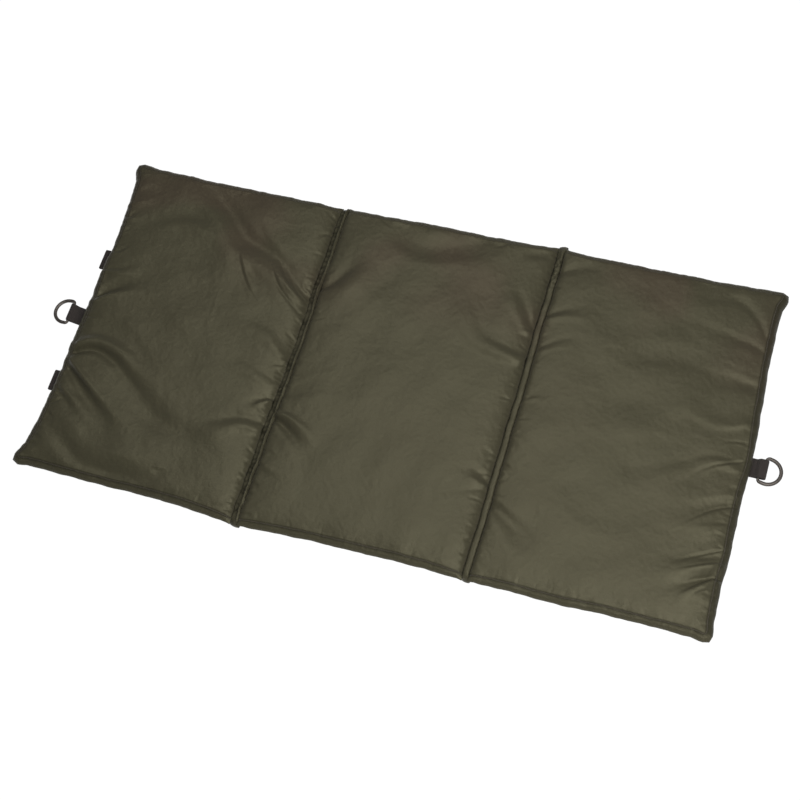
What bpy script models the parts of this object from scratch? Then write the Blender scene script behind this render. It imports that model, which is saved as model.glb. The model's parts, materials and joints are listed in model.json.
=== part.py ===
"""Unhooking mat that folds in three: padded panels, D-rings and closure straps.

Metres, +Z up. The origin is on the ground under the centre of the mat. +X runs along the mat from the
end with the closure straps to the plain end, and +Y runs from its near long edge to its far one.
"""

import math

import bmesh
import bpy
from mathutils import Matrix, Vector

# Driving dimensions of the padded panels
MAT_LENGTH = 0.994
MAT_WIDTH = 0.500
LEFT_FOLD_X = -0.160
RIGHT_FOLD_X = 0.1725
CHANNEL_WIDTH = 0.012
SEAM_HEIGHT = 0.0195
CROWN_HEIGHT = 0.0055
CHANNEL_HEIGHT = 0.0135
EDGE_REACH = 0.014
CHANNEL_REACH = 0.015

# How far the edges are drawn in between their corners
LEFT_DRAW = 0.011
RIGHT_DRAW = 0.0065
LONG_DRAW = 0.0025
RING_PULL_REACH = 0.060
CORNER_SHARPNESS = 5

# Sheets, foam and seams
COVER_THICKNESS = 0.0009
BASE_THICKNESS = 0.001
CLEARANCE = 0.0003
FOAM_CLEARANCE = 0.0006
FOAM_INSET = 0.004
FOAM_CHANNEL_INSET = 0.010
BULGE = 0.0085
WELT_RADIUS = 0.0015
SEAM_CORNER_RADIUS = 0.0045
CHANNEL_LIFT = 0.0095
CHANNEL_LIFT_REACH = 0.020
WALL_END_GAP = 0.003

# Webs in the fold channels, which turn down over the mat's long edges
STRIP_THICKNESS = 0.0028
STRIP_ARCH = 0.0008
STRIP_TURN_INSET = 0.0035
STRIP_TURN_RADIUS = 0.0085
STRIP_TAPER = 0.3

# Joints of the two folds
FOLD_AIR = 0.001

# Steel rings and the tabs that hold them
RING_WIRE_RADIUS = 0.0021
RING_INNER_WIDTH = 0.0304
RING_REACH = 0.0268
RING_CORNER_RADIUS = 0.0035
RING_Y = -0.0045
RING_STANDS_OUT = 0.0485
RIGHT_RING_TWIST = math.radians(-12)
WEBBING_THICKNESS = 0.0015
TAB_WIDTH = 0.0275
LEFT_TAB_LEAN = 0.0045
TAB_SEWN = 0.003
TAB_FLOOR_GAP = 0.0001
TAB_STEP_RUN = 0.0025
TAB_CLOSING_LENGTH = 0.009

# Closure straps
STRAP_WIDTH = 0.032
STRAP_THICKNESS = 0.0016
STRAP_LENGTH = 0.137
STRAP_SIDES_Y = {"far": 0.0925, "near": -0.1155}
STRAP_STANDS_OUT = 0.001
STRAP_TURN_INNER_RADIUS = 0.0008
STRAP_SEWN = 0.0028
TAPE_THICKNESS = 0.0009
HOOK_TAPE_LENGTH = 0.050
HOOK_TAPE_WIDTH = 0.030
LOOP_TAPE_LENGTH = 0.058
LOOP_TAPE_WIDTH = 0.036
LOOP_TAPE_FROM_FOLD = 0.0575
DENT_MARGIN = 0.003
DENT_SLOPE = 0.007

# Values that follow from the dimensions above
HALF_LENGTH = MAT_LENGTH / 2
HALF_WIDTH = MAT_WIDTH / 2
RING_TIP_X = HALF_LENGTH + RING_STANDS_OUT
STRAP_FOLD_X = -HALF_LENGTH - STRAP_STANDS_OUT
LOOP_TAPE_X = RIGHT_FOLD_X - LOOP_TAPE_FROM_FOLD
STRIP_TURN_Y = HALF_WIDTH - STRIP_TURN_INSET
TOP_HEIGHT = SEAM_HEIGHT + CROWN_HEIGHT
CHANNEL_DEPTH = TOP_HEIGHT - CHANNEL_HEIGHT
HALF_CHANNEL = CHANNEL_WIDTH / 2
RIGHT_FOLD_HEIGHT = TOP_HEIGHT + FOLD_AIR / 2
LEFT_FOLD_HEIGHT = 1.5 * TOP_HEIGHT + FOLD_AIR
EYE_RADIUS = RING_WIRE_RADIUS + CLEARANCE
LOOP_RADIUS = EYE_RADIUS + WEBBING_THICKNESS
BAR_HEIGHT = TAB_FLOOR_GAP + LOOP_RADIUS
RING_DROOP = math.asin((BAR_HEIGHT - RING_WIRE_RADIUS) / (RING_REACH - RING_WIRE_RADIUS))
RIGHT_EYE_SLACK = TAB_WIDTH * math.tan(abs(RIGHT_RING_TWIST)) + CLEARANCE
TAB_ROOT_LOW = BASE_THICKNESS + CLEARANCE
TAB_ROOT_HIGH = TAB_ROOT_LOW + 2 * WEBBING_THICKNESS
STRAP_LOW = TAPE_THICKNESS + CLEARANCE
STRAP_TURN_RADIUS = STRAP_TURN_INNER_RADIUS + STRAP_THICKNESS
STRAP_TURN_HEIGHT = STRAP_LOW + STRAP_TURN_RADIUS
STRAP_ROOT_LOW = STRAP_TURN_HEIGHT + STRAP_TURN_INNER_RADIUS
STRAP_ROOT_HIGH = STRAP_ROOT_LOW + STRAP_THICKNESS
STRAP_DENT = STRAP_LOW + STRAP_THICKNESS + CLEARANCE
TAPE_DENT = TAPE_THICKNESS + CLEARANCE
LEFT_END_X = LEFT_DRAW - HALF_LENGTH
QUARTER = math.pi / 2

# Colours, roughness and metallic value of each finish
FINISHES = {
    "olive_nylon": ((0.083, 0.079, 0.046, 1), 0.62, 0),
    "base_fabric": ((0.030, 0.029, 0.024, 1), 0.75, 0),
    "foam": ((0.55, 0.56, 0.55, 1), 0.9, 0),
    "webbing": ((0.032, 0.025, 0.023, 1), 0.8, 0),
    "gunmetal": ((0.12, 0.105, 0.095, 1), 0.38, 1),
    "touch_tape": ((0.02, 0.02, 0.02, 1), 0.95, 0),
}

# Grid lines of the soft forms, as shares of a zone beside each edge, and spans between two zones
EDGE_ZONE = 0.115
COVER_LINE_SHARES = (0, 0.035, 0.08, 0.14, 0.235, 0.39, 0.65, 1)
FOAM_LINE_SHARES = (0, 0.09, 0.26, 0.6)
BASE_LINE_SHARES = (0, 0.06, 0.39)
LIFT_LINE_SHARES = (0, 0.04, 0.085, 0.13, 0.175)
MIDDLE_SPANS = 3
LEAST_GRID_GAP = 0.004
CORNER_CLEAR_SHARE = 1.2
WALL_SPANS = 5
CORNER_STEPS = 4
SHARP_ANGLE = math.radians(40)
WELD_DISTANCE = 0.00001


def start_collection(name):
    """Empty the scene and open a collection for the mat's pieces."""
    for obj in list(bpy.data.objects):
        bpy.data.objects.remove(obj, do_unlink=True)
    collection = bpy.data.collections.new(name)
    bpy.context.scene.collection.children.link(collection)
    return collection


def finish_material(piece_name, finish):
    """A plain Principled material for one piece."""
    colour, roughness, metallic = FINISHES[finish]
    material = bpy.data.materials.new(piece_name + "_" + finish)
    material.use_nodes = True
    shader = material.node_tree.nodes["Principled BSDF"]
    shader.inputs["Base Color"].default_value = colour
    shader.inputs["Roughness"].default_value = roughness
    shader.inputs["Metallic"].default_value = metallic
    return material


def add_pivot(collection, name, place, turn=0.0, parent=None):
    """An empty on a joint's axis, which is the empty's own Y axis."""
    pivot = bpy.data.objects.new(name, None)
    collection.objects.link(pivot)
    pivot.matrix_world = Matrix.Translation(place) @ Matrix.Rotation(turn, 4, "Z")
    if parent:
        pivot.parent = parent
        pivot.matrix_parent_inverse = parent.matrix_world.inverted()
    bpy.context.view_layer.update()
    return pivot


def add_piece(collection, name, data, finish, pivot=None):
    """Link an object with its finish, under its joint's empty if it has one."""
    data.materials.append(finish_material(name, finish))
    obj = bpy.data.objects.new(name, data)
    collection.objects.link(obj)
    if pivot:
        obj.parent = pivot
        obj.matrix_parent_inverse = pivot.matrix_world.inverted()
    return obj


def finished_mesh(bm, name):
    """A mesh from a bmesh, smooth except at its sharp edges."""
    mesh = bpy.data.meshes.new(name)
    bm.to_mesh(mesh)
    bm.free()
    mesh.shade_smooth()
    mesh.set_sharp_from_angle(angle=SHARP_ANGLE)
    return mesh


def drawn_in(share):
    """How much of an edge's draw applies at a share of its length: none at its corners."""
    return 1 - abs(2 * share - 1) ** CORNER_SHARPNESS


def grid_lines(length, low_shares, high_shares):
    """Shares of a length where grid lines lie: in a zone at either end and evenly between them."""
    low = [EDGE_ZONE * share / length for share in low_shares]
    high = [1 - EDGE_ZONE * share / length for share in reversed(high_shares)]
    gap = high[0] - low[-1]
    middle = [low[-1] + gap * i / MIDDLE_SPANS for i in range(1, MIDDLE_SPANS)]
    return low + middle + high


def with_lines(lines, extra, least):
    """Grid lines with some put in, leaving out inner lines that come too close to those."""
    inner = [line for line in lines[1:-1] if all(abs(line - other) > least for other in extra)]
    return [lines[0]] + sorted(inner + [line for line in extra if 0 < line < 1]) + [lines[-1]]


def clear_lines(lines, low_gap, high_gap):
    """The grid lines that keep clear of a gap at either end of the run."""
    low = CORNER_CLEAR_SHARE * low_gap
    high = 1 - CORNER_CLEAR_SHARE * high_gap
    return [line for line in lines if low < line < high]


def rounded_gaps(end_gap, side_gap, radius):
    """Distances to two edges of a corner, changed so that the square corner becomes an arc."""
    if max(end_gap, side_gap) >= radius:
        return end_gap, side_gap
    arm = Vector((radius - end_gap, radius - side_gap))
    arm *= max(arm) / arm.length
    return radius - arm.x, radius - arm.y


class Hollow:
    """A flat hollow with sloping sides, pressed in the base cover."""

    def __init__(self, low_x, high_x, middle_y, width, depth):
        self.low_x = low_x
        self.high_x = high_x
        self.low_y = middle_y - width / 2
        self.high_y = middle_y + width / 2
        self.depth = depth

    def depth_at(self, x, y):
        out_x = max(self.low_x - x, x - self.high_x, 0.0)
        out_y = max(self.low_y - y, y - self.high_y, 0.0)
        return self.depth * max(0.0, 1 - out_x / DENT_SLOPE) * max(0.0, 1 - out_y / DENT_SLOPE)

    def lines(self, low, high):
        """Where grid lines lie across the hollow: within its flat part and at its slopes' ends."""
        inside = DENT_MARGIN / 2
        return [low - DENT_SLOPE, low + inside, high - inside, high + DENT_SLOPE]


class Passage:
    """A place on a sewn end where webbing leaves the seam and holds the side wall up."""

    def __init__(self, low_y, high_y, height):
        self.low_y = low_y
        self.high_y = high_y
        self.height = height

    def lift(self, y, low):
        share = min(1.0, max(self.low_y - y, y - self.high_y, 0.0) / DENT_SLOPE)
        return max(low, self.height * (1 - share) + low * share)


class Panel:
    """One padded panel: its seam outline, its crowned top and its base.

    sewn_end is -1 or 1 for an end panel and 0 for the middle one. Shares u run along the panel and
    shares v across it."""

    def __init__(self, name, low_x, high_x, sewn_end, hollows=(), passages=()):
        self.name = name
        self.low_x = low_x
        self.high_x = high_x
        self.length = high_x - low_x
        self.sewn_end = sewn_end
        self.hollows = hollows
        self.passages = passages
        self.columns = grid_lines(self.length, COVER_LINE_SHARES, COVER_LINE_SHARES)
        plain_rows = grid_lines(MAT_WIDTH, COVER_LINE_SHARES, COVER_LINE_SHARES)
        borders = []
        for passage in passages:
            low_y, high_y = passage.low_y, passage.high_y
            borders += [low_y - DENT_SLOPE, low_y, high_y, high_y + DENT_SLOPE]
        borders = [(y / HALF_WIDTH + 1) / 2 for y in borders]
        self.rows = with_lines(plain_rows, borders, LEAST_GRID_GAP / MAT_WIDTH)

    def low_edge(self, y):
        draw = LEFT_DRAW * drawn_in((y / HALF_WIDTH + 1) / 2)
        return self.low_x + (draw if self.sewn_end < 0 else 0)

    def high_edge(self, y):
        if self.sewn_end <= 0:
            return self.high_x
        offset = (y - RING_Y) / RING_PULL_REACH
        draw = RIGHT_DRAW * drawn_in((y / HALF_WIDTH + 1) / 2)
        return self.high_x - draw * (1 - math.exp(-offset * offset))

    def side_edge(self, x):
        share = min(1.0, max(0.0, (x - self.low_x) / self.length))
        return HALF_WIDTH - LONG_DRAW * drawn_in(share)

    def from_gaps(self, end_gap, side_gap, side, inset):
        """Plan position at distances from the sewn end and from the far (1) or near (-1) edge."""
        end_x = self.low_x + end_gap if self.sewn_end < 0 else self.high_x - end_gap
        y = side * (self.side_edge(end_x) - inset - side_gap)
        if self.sewn_end < 0:
            return self.low_edge(y) + inset + end_gap, y
        return self.high_edge(y) - inset - end_gap, y

    def plan(self, u, v, inset=0.0, channel_inset=0.0):
        """Plan position and distance to the nearest sewn edge, with the outline moved in."""
        x = self.low_x + self.length * u
        for _ in range(3):
            reach = self.side_edge(x) - inset
            y = reach * (2 * v - 1)
            low = self.low_edge(y) + (inset if self.sewn_end < 0 else channel_inset)
            high = self.high_edge(y) - (inset if self.sewn_end > 0 else channel_inset)
            x = low + (high - low) * u
        side_gap = reach - abs(y)
        if not self.sewn_end:
            return x, y, side_gap + inset
        end_gap = x - low if self.sewn_end < 0 else high - x
        distance = min(side_gap, end_gap) + inset
        radius = SEAM_CORNER_RADIUS - inset
        if max(end_gap, side_gap) < radius:
            gaps = rounded_gaps(end_gap, side_gap, radius)
            x, y = self.from_gaps(*gaps, math.copysign(1, y), inset)
        return x, y, distance

    def channel_distance(self, x):
        low = x - self.low_x if self.sewn_end >= 0 else math.inf
        high = self.high_x - x if self.sewn_end <= 0 else math.inf
        return max(0.0, min(low, high))

    def top(self, x, edge_distance):
        """Height of the cover's outer face: crowned, and pulled down at seams and channels."""
        channel = math.exp(-self.channel_distance(x) / CHANNEL_REACH)
        edge = math.exp(-edge_distance / EDGE_REACH)
        return TOP_HEIGHT - CHANNEL_DEPTH * channel - CROWN_HEIGHT * edge * (1 - channel)

    def base(self, x, y):
        """Height of the base cover's under face: flat on the ground, lifted at the channels and
        hollowed over what lies under it."""
        share = max(0.0, 1 - self.channel_distance(x) / CHANNEL_LIFT_REACH)
        depths = [hollow.depth_at(x, y) for hollow in self.hollows]
        return max([CHANNEL_LIFT * share * share] + depths)

    def base_lines(self, sewn_shares, channel_shares, inset, channel_inset):
        """Grid lines of a sheet that follows the base, with lines along each hollow."""
        low_shares = sewn_shares if self.sewn_end < 0 else channel_shares
        high_shares = sewn_shares if self.sewn_end > 0 else channel_shares
        columns = grid_lines(self.length, low_shares, high_shares)
        rows = grid_lines(MAT_WIDTH, sewn_shares, sewn_shares)
        low_x, _, _ = self.plan(0, 0.5, inset, channel_inset)
        high_x, _, _ = self.plan(1, 0.5, inset, channel_inset)
        high_y = HALF_WIDTH - LONG_DRAW - inset
        extra_x = set()
        extra_y = set()
        for hollow in self.hollows:
            extra_x |= {(x - low_x) / (high_x - low_x) for x in hollow.lines(hollow.low_x, hollow.high_x)}
            extra_y |= {(y / high_y + 1) / 2 for y in hollow.lines(hollow.low_y, hollow.high_y)}
        columns = with_lines(columns, extra_x, LEAST_GRID_GAP / self.length)
        rows = with_lines(rows, extra_y, LEAST_GRID_GAP / MAT_WIDTH)
        return columns, rows

    def seam_path(self, side):
        """Plan points along a sewn edge, anticlockwise round the mat.

        side is 1 for a middle panel's far edge, -1 for its near edge and 0 for an end panel."""
        gap = WALL_END_GAP / self.length
        if side:
            shares = [gap] + clear_lines(self.columns, gap, gap) + [1 - gap]
            run = [self.plan(u, (1 + side) / 2)[:2] for u in shares]
            return run if side < 0 else run[::-1]
        corner = SEAM_CORNER_RADIUS / self.length
        bend = SEAM_CORNER_RADIUS / MAT_WIDTH
        if self.sewn_end < 0:
            shares = clear_lines(self.columns, corner, gap) + [1 - gap]
            start_side = 1
            shares = shares[::-1]
        else:
            shares = [gap] + clear_lines(self.columns, gap, corner)
            start_side = -1
        run = [self.plan(u, (1 + start_side) / 2)[:2] for u in shares]
        for i in range(CORNER_STEPS + 1):
            angle = QUARTER * i / CORNER_STEPS
            end_gap = SEAM_CORNER_RADIUS * (1 - math.sin(angle))
            side_gap = SEAM_CORNER_RADIUS * (1 - math.cos(angle))
            run.append(self.from_gaps(end_gap, side_gap, start_side, 0.0))
        ends = clear_lines(self.rows, bend, bend)
        end_u = 0 if self.sewn_end < 0 else 1
        ends = ends[::-1] if start_side > 0 else ends
        end_run = [self.plan(end_u, v)[:2] for v in ends]
        return run + end_run + [(x, -y) for x, y in reversed(run)]


def outward_directions(points):
    """The outer side of each point of an anticlockwise path."""
    found = []
    for i in range(len(points)):
        before = Vector(points[max(0, i - 1)])
        after = Vector(points[min(len(points) - 1, i + 1)])
        along = (after - before).normalized()
        found.append(Vector((along.y, -along.x)))
    return found


def sheet_mesh(name, columns, rows, lower_point, upper_point):
    """A closed slab: a grid for its lower face, extruded to its upper face."""
    bm = bmesh.new()
    bmesh.ops.create_grid(bm, x_segments=len(columns) - 1, y_segments=len(rows) - 1, size=1)
    for vert in bm.verts:
        column = round((vert.co.x + 1) / 2 * (len(columns) - 1))
        row = round((vert.co.y + 1) / 2 * (len(rows) - 1))
        vert.co = (columns[column], rows[row], 0)
    region = bmesh.ops.extrude_face_region(bm, geom=bm.faces[:])
    raised = {item for item in region["geom"] if isinstance(item, bmesh.types.BMVert)}
    for vert in bm.verts:
        place = upper_point if vert in raised else lower_point
        vert.co = place(vert.co.x, vert.co.y)
    bmesh.ops.recalc_face_normals(bm, faces=bm.faces[:])
    return finished_mesh(bm, name)


def add_top_cover(collection, panel, pivot):
    """The crowned cover sheet, which ends just inside the welt and at the channel's stitches."""
    inset = WELT_RADIUS + CLEARANCE

    def upper(u, v):
        x, y, distance = panel.plan(u, v, inset)
        return Vector((x, y, panel.top(x, distance)))

    def lower(u, v):
        return upper(u, v) - Vector((0, 0, COVER_THICKNESS))

    name = panel.name + "_top_cover"
    mesh = sheet_mesh(name, panel.columns, panel.rows, lower, upper)
    return add_piece(collection, name, mesh, "olive_nylon", pivot)


def add_base_cover(collection, panel, pivot):
    """The sheet on the ground. Its rim lies under the top seam and its channel side is lifted."""

    def lower(u, v):
        x, y, _ = panel.plan(u, v)
        return Vector((x, y, panel.base(x, y)))

    def upper(u, v):
        return lower(u, v) + Vector((0, 0, BASE_THICKNESS))

    columns, rows = panel.base_lines(BASE_LINE_SHARES, LIFT_LINE_SHARES, 0.0, 0.0)
    name = panel.name + "_base_cover"
    mesh = sheet_mesh(name, columns, rows, lower, upper)
    return add_piece(collection, name, mesh, "base_fabric", pivot)


def add_foam_pad(collection, panel, pivot):
    """The pad between the covers, clear of both and of the side walls."""

    def lower(u, v):
        x, y, _ = panel.plan(u, v, FOAM_INSET, FOAM_CHANNEL_INSET)
        return Vector((x, y, panel.base(x, y) + BASE_THICKNESS + FOAM_CLEARANCE))

    def upper(u, v):
        x, y, distance = panel.plan(u, v, FOAM_INSET, FOAM_CHANNEL_INSET)
        return Vector((x, y, panel.top(x, distance) - COVER_THICKNESS - FOAM_CLEARANCE))

    shares = FOAM_LINE_SHARES
    columns, rows = panel.base_lines(shares, shares, FOAM_INSET, FOAM_CHANNEL_INSET)
    name = panel.name + "_foam_pad"
    mesh = sheet_mesh(name, columns, rows, lower, upper)
    return add_piece(collection, name, mesh, "foam", pivot)


def add_side_wall(collection, panel, side, name, pivot):
    """The cover's side wall: a strip from the base's rim to the welt, bulging outward."""
    points = panel.seam_path(side)
    outward = outward_directions(points)
    full_height = SEAM_HEIGHT - WELT_RADIUS - BASE_THICKNESS
    bm = bmesh.new()
    bmesh.ops.create_grid(bm, x_segments=len(points) - 1, y_segments=WALL_SPANS, size=1)
    for vert in bm.verts:
        station = round((vert.co.x + 1) / 2 * (len(points) - 1))
        share = round((vert.co.y + 1) / 2 * WALL_SPANS) / WALL_SPANS
        x, y = points[station]
        low = panel.base(x, y) + BASE_THICKNESS + CLEARANCE
        for passage in panel.passages:
            low = passage.lift(y, low)
        high = panel.top(x, 0.0) - WELT_RADIUS - CLEARANCE
        out = BULGE * (high - low) / full_height * math.sin(math.pi * share) ** 0.8
        place = Vector((x, y)) + outward[station] * out
        vert.co = (place.x, place.y, low + (high - low) * share)
    mesh = finished_mesh(bm, name)
    obj = add_piece(collection, name, mesh, "olive_nylon", pivot)
    solid = obj.modifiers.new("thickness", "SOLIDIFY")
    solid.thickness = COVER_THICKNESS
    solid.offset = -1
    return obj


def round_bar(name, points, radius, resolution, cyclic=False):
    """A round bar along straight pieces between points, closed at its ends."""
    curve = bpy.data.curves.new(name, "CURVE")
    curve.dimensions = "3D"
    curve.bevel_depth = radius
    curve.bevel_resolution = resolution
    curve.use_fill_caps = not cyclic
    spline = curve.splines.new("POLY")
    spline.points.add(len(points) - 1)
    for place, point in zip(points, spline.points):
        point.co = (*place, 1)
    spline.use_cyclic_u = cyclic
    return curve


def add_welt(collection, panel, side, name, pivot):
    """The sewn edge between the top cover and the side wall."""
    places = [(x, y, panel.top(x, 0.0)) for x, y in panel.seam_path(side)]
    curve = round_bar(name, places, WELT_RADIUS, 1)
    return add_piece(collection, name, curve, "olive_nylon", pivot)


def prism(name, outlines, width, middle_y):
    """Outlines in the XZ plane, extruded along Y. The first is the outside, any other a hole."""
    curve = bpy.data.curves.new(name, "CURVE")
    curve.dimensions = "2D"
    curve.fill_mode = "BOTH"
    curve.extrude = width / 2
    for outline in outlines:
        spline = curve.splines.new("POLY")
        spline.points.add(len(outline) - 1)
        for (x, z), point in zip(outline, spline.points):
            point.co = (x, z, 0, 1)
        spline.use_cyclic_u = True
    helper = bpy.data.objects.new(name, curve)
    bpy.context.scene.collection.objects.link(helper)
    helper.matrix_world = Matrix.Translation((0, middle_y, 0)) @ Matrix.Rotation(QUARTER, 4, "X")
    bpy.context.view_layer.update()
    graph = bpy.context.evaluated_depsgraph_get()
    plain = bpy.data.meshes.new_from_object(helper.evaluated_get(graph))
    plain.transform(helper.matrix_world)
    bpy.data.objects.remove(helper, do_unlink=True)
    bm = bmesh.new()
    bm.from_mesh(plain)
    bpy.data.meshes.remove(plain)
    bmesh.ops.remove_doubles(bm, verts=bm.verts[:], dist=WELD_DISTANCE)
    bmesh.ops.recalc_face_normals(bm, faces=bm.faces[:])
    return finished_mesh(bm, name)


def arc(centre, radius, start, end, steps):
    """Points on an arc, both ends included."""
    angles = [start + (end - start) * i / steps for i in range(steps + 1)]
    return [(centre[0] + radius * math.cos(a), centre[1] + radius * math.sin(a)) for a in angles]


# Where a web's cross-section has points across its width, and its thickness and arch there
STRIP_COLUMN_SHARES = (0, 0.1, 0.3, 0.5, 0.7, 0.9, 1)
STRIP_THICKNESS_SHARES = (0.4, 0.9, 1, 1, 1, 0.9, 0.4)
STRIP_ARCH_SHARES = (0, 0.3, 0.8, 1, 0.8, 0.3, 0)
STRIP_TURN_STEPS = 4


def add_fold_strip(collection, name, fold_x):
    """The flat web between two rows of stitches, which narrows and turns down at its ends."""
    half = HALF_CHANNEL - CLEARANCE
    middle_z = (CHANNEL_HEIGHT + CHANNEL_LIFT) / 2
    turn = [QUARTER * i / STRIP_TURN_STEPS for i in range(STRIP_TURN_STEPS + 1)]
    stations = [(-1, angle) for angle in reversed(turn)] + [(1, angle) for angle in turn]
    rows = [i / (len(stations) - 1) for i in range(len(stations))]

    def face(u, v, above):
        side, angle = stations[round(v * (len(stations) - 1))]
        column = STRIP_COLUMN_SHARES.index(min(STRIP_COLUMN_SHARES, key=lambda s: abs(s - u)))
        taper = 1 - STRIP_TAPER * angle / QUARTER
        thickness = STRIP_THICKNESS * STRIP_THICKNESS_SHARES[column] / 2
        raised = STRIP_ARCH * STRIP_ARCH_SHARES[column] + above * thickness
        x = fold_x + half * taper * (2 * u - 1)
        y = side * (STRIP_TURN_Y + (STRIP_TURN_RADIUS + raised) * math.sin(angle))
        z = middle_z - STRIP_TURN_RADIUS + (STRIP_TURN_RADIUS + raised) * math.cos(angle)
        return Vector((x, y, z))

    def upper(u, v):
        return face(u, v, 1)

    def lower(u, v):
        return face(u, v, -1)

    mesh = sheet_mesh(name, STRIP_COLUMN_SHARES, rows, lower, upper)
    return add_piece(collection, name, mesh, "olive_nylon")


def ring_outline():
    """Centre line of a D-ring from its bar at x = 0, in its own plane, reaching towards +X."""
    half = RING_INNER_WIDTH / 2 + RING_WIRE_RADIUS
    bow_x = RING_REACH - RING_WIRE_RADIUS - half
    corner = RING_CORNER_RADIUS
    lower = arc((corner, corner - half), corner, math.pi, math.pi * 1.5, 4)
    bow = arc((bow_x, 0.0), half, -QUARTER, QUARTER, 18)
    upper = arc((corner, half - corner), corner, QUARTER, math.pi, 4)
    return lower + bow + upper


def ring_bar_x(twist):
    """Distance of a ring's bar from the middle of the mat, for a ring turned in its plane."""
    half = RING_INNER_WIDTH / 2 + RING_WIRE_RADIUS
    bow_x = RING_REACH - RING_WIRE_RADIUS - half
    level = math.cos(RING_DROOP)
    return RING_TIP_X - RING_WIRE_RADIUS - half * level - bow_x * level * math.cos(twist)


def add_d_ring(collection, name, pivot, side):
    """A bent wire ring with its bar on the pivot's Y axis, its bow resting on the ground."""
    tilt = Matrix.Scale(side, 4, (1, 0, 0)) @ Matrix.Rotation(RING_DROOP, 4, "Y")
    places = [tuple(tilt @ Vector((x, y, 0))) for x, y in ring_outline()]
    curve = round_bar(name, places, RING_WIRE_RADIUS, 3, cyclic=True)
    obj = add_piece(collection, name, curve, "gunmetal")
    obj.parent = pivot
    return obj


def add_ring_tab(collection, name, side, bar_x, slack, lean, pivot):
    """Webbing sewn in under the side wall and doubled round a ring's bar.

    slack is how much longer the eye is than the bar needs, for a ring that sits askew. lean is how
    far the tab runs sideways between its root and the bar."""
    edge = HALF_LENGTH - (LEFT_DRAW if side < 0 else 0)
    root = edge - TAB_SEWN
    step = edge + CLEARANCE * 2
    foot = step + TAB_STEP_RUN
    eye_out = (bar_x + slack / 2, BAR_HEIGHT)
    eye_in = (bar_x - slack / 2, BAR_HEIGHT)
    flat_high = TAB_FLOOR_GAP + 2 * WEBBING_THICKNESS
    outer = [(root, TAB_ROOT_LOW), (step, TAB_ROOT_LOW), (foot, TAB_FLOOR_GAP)]
    outer += arc(eye_out, LOOP_RADIUS, -QUARTER, QUARTER, 8)
    if slack:
        outer.append((eye_in[0], BAR_HEIGHT + LOOP_RADIUS))
    outer += [(eye_in[0] - TAB_CLOSING_LENGTH, flat_high), (foot, flat_high)]
    outer += [(step, TAB_ROOT_HIGH), (root, TAB_ROOT_HIGH)]
    hole = arc(eye_out, EYE_RADIUS, -QUARTER, QUARTER, 8)
    hole += arc(eye_in, EYE_RADIUS, QUARTER, 3 * QUARTER, 8)[0 if slack else 1:]
    if not slack:
        hole = hole[:-1]
    outlines = [[(side * x, z) for x, z in outline] for outline in (outer, hole)]
    mesh = prism(name, outlines, TAB_WIDTH, RING_Y)
    for vert in mesh.vertices:
        vert.co.y += lean * ((side * vert.co.x - root) / (bar_x - root) - 1)
    return add_piece(collection, name, mesh, "webbing", pivot)


def add_flat_piece(collection, name, low, high, finish, pivot=None):
    """A flat strip between two corners, with its edges eased."""
    size = Vector(high) - Vector(low)
    middle = (Vector(high) + Vector(low)) / 2
    bm = bmesh.new()
    bmesh.ops.create_cube(bm, size=1, matrix=Matrix.Translation(middle) @ Matrix.Diagonal((*size, 1)))
    easing = min(size) / 4
    bmesh.ops.bevel(bm, geom=bm.edges[:], offset=easing, segments=1, affect="EDGES")
    return add_piece(collection, name, finished_mesh(bm, name), finish, pivot)


def add_closure_strap(collection, side, middle_y, panel_pivot, strap_pivot):
    """One strap: a sewn root, the turned part and the free length, with its hook tape."""
    low_y = middle_y - STRAP_WIDTH / 2
    high_y = middle_y + STRAP_WIDTH / 2
    plate_x = STRAP_FOLD_X + CLEARANCE
    root_low = (plate_x, low_y, STRAP_ROOT_LOW)
    root_high = (LEFT_END_X + STRAP_SEWN, high_y, STRAP_ROOT_HIGH)
    add_flat_piece(collection, side + "_strap_root", root_low, root_high, "webbing", panel_pivot)

    centre = (STRAP_FOLD_X, STRAP_TURN_HEIGHT)
    outline = arc(centre, STRAP_TURN_RADIUS, QUARTER, 3 * QUARTER, 8)
    outline += arc(centre, STRAP_TURN_INNER_RADIUS, 3 * QUARTER, QUARTER, 8)
    mesh = prism(side + "_strap_turn", [outline], STRAP_WIDTH, middle_y)
    add_piece(collection, side + "_strap_turn", mesh, "webbing", panel_pivot)

    end_x = plate_x + STRAP_LENGTH
    free_low = (plate_x, low_y, STRAP_LOW)
    free_high = (end_x, high_y, STRAP_LOW + STRAP_THICKNESS)
    name = side + "_closure_strap"
    add_flat_piece(collection, name, free_low, free_high, "webbing", strap_pivot)
    tape_low = (end_x - HOOK_TAPE_LENGTH, middle_y - HOOK_TAPE_WIDTH / 2, 0)
    tape_high = (end_x, middle_y + HOOK_TAPE_WIDTH / 2, TAPE_THICKNESS)
    add_flat_piece(collection, side + "_hook_tape", tape_low, tape_high, "touch_tape", strap_pivot)


def add_loop_tape(collection, side, middle_y):
    """The loop tape under the middle panel that one strap closes on."""
    low = (LOOP_TAPE_X - LOOP_TAPE_LENGTH / 2, middle_y - LOOP_TAPE_WIDTH / 2, 0)
    high = (LOOP_TAPE_X + LOOP_TAPE_LENGTH / 2, middle_y + LOOP_TAPE_WIDTH / 2, TAPE_THICKNESS)
    add_flat_piece(collection, side + "_loop_tape", low, high, "touch_tape")


def strap_hollow(middle_y):
    """The hollow in the left panel's base over one folded strap."""
    end_x = STRAP_FOLD_X + CLEARANCE + STRAP_LENGTH + DENT_MARGIN
    return Hollow(STRAP_FOLD_X, end_x, middle_y, STRAP_WIDTH + 2 * DENT_MARGIN, STRAP_DENT)


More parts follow.
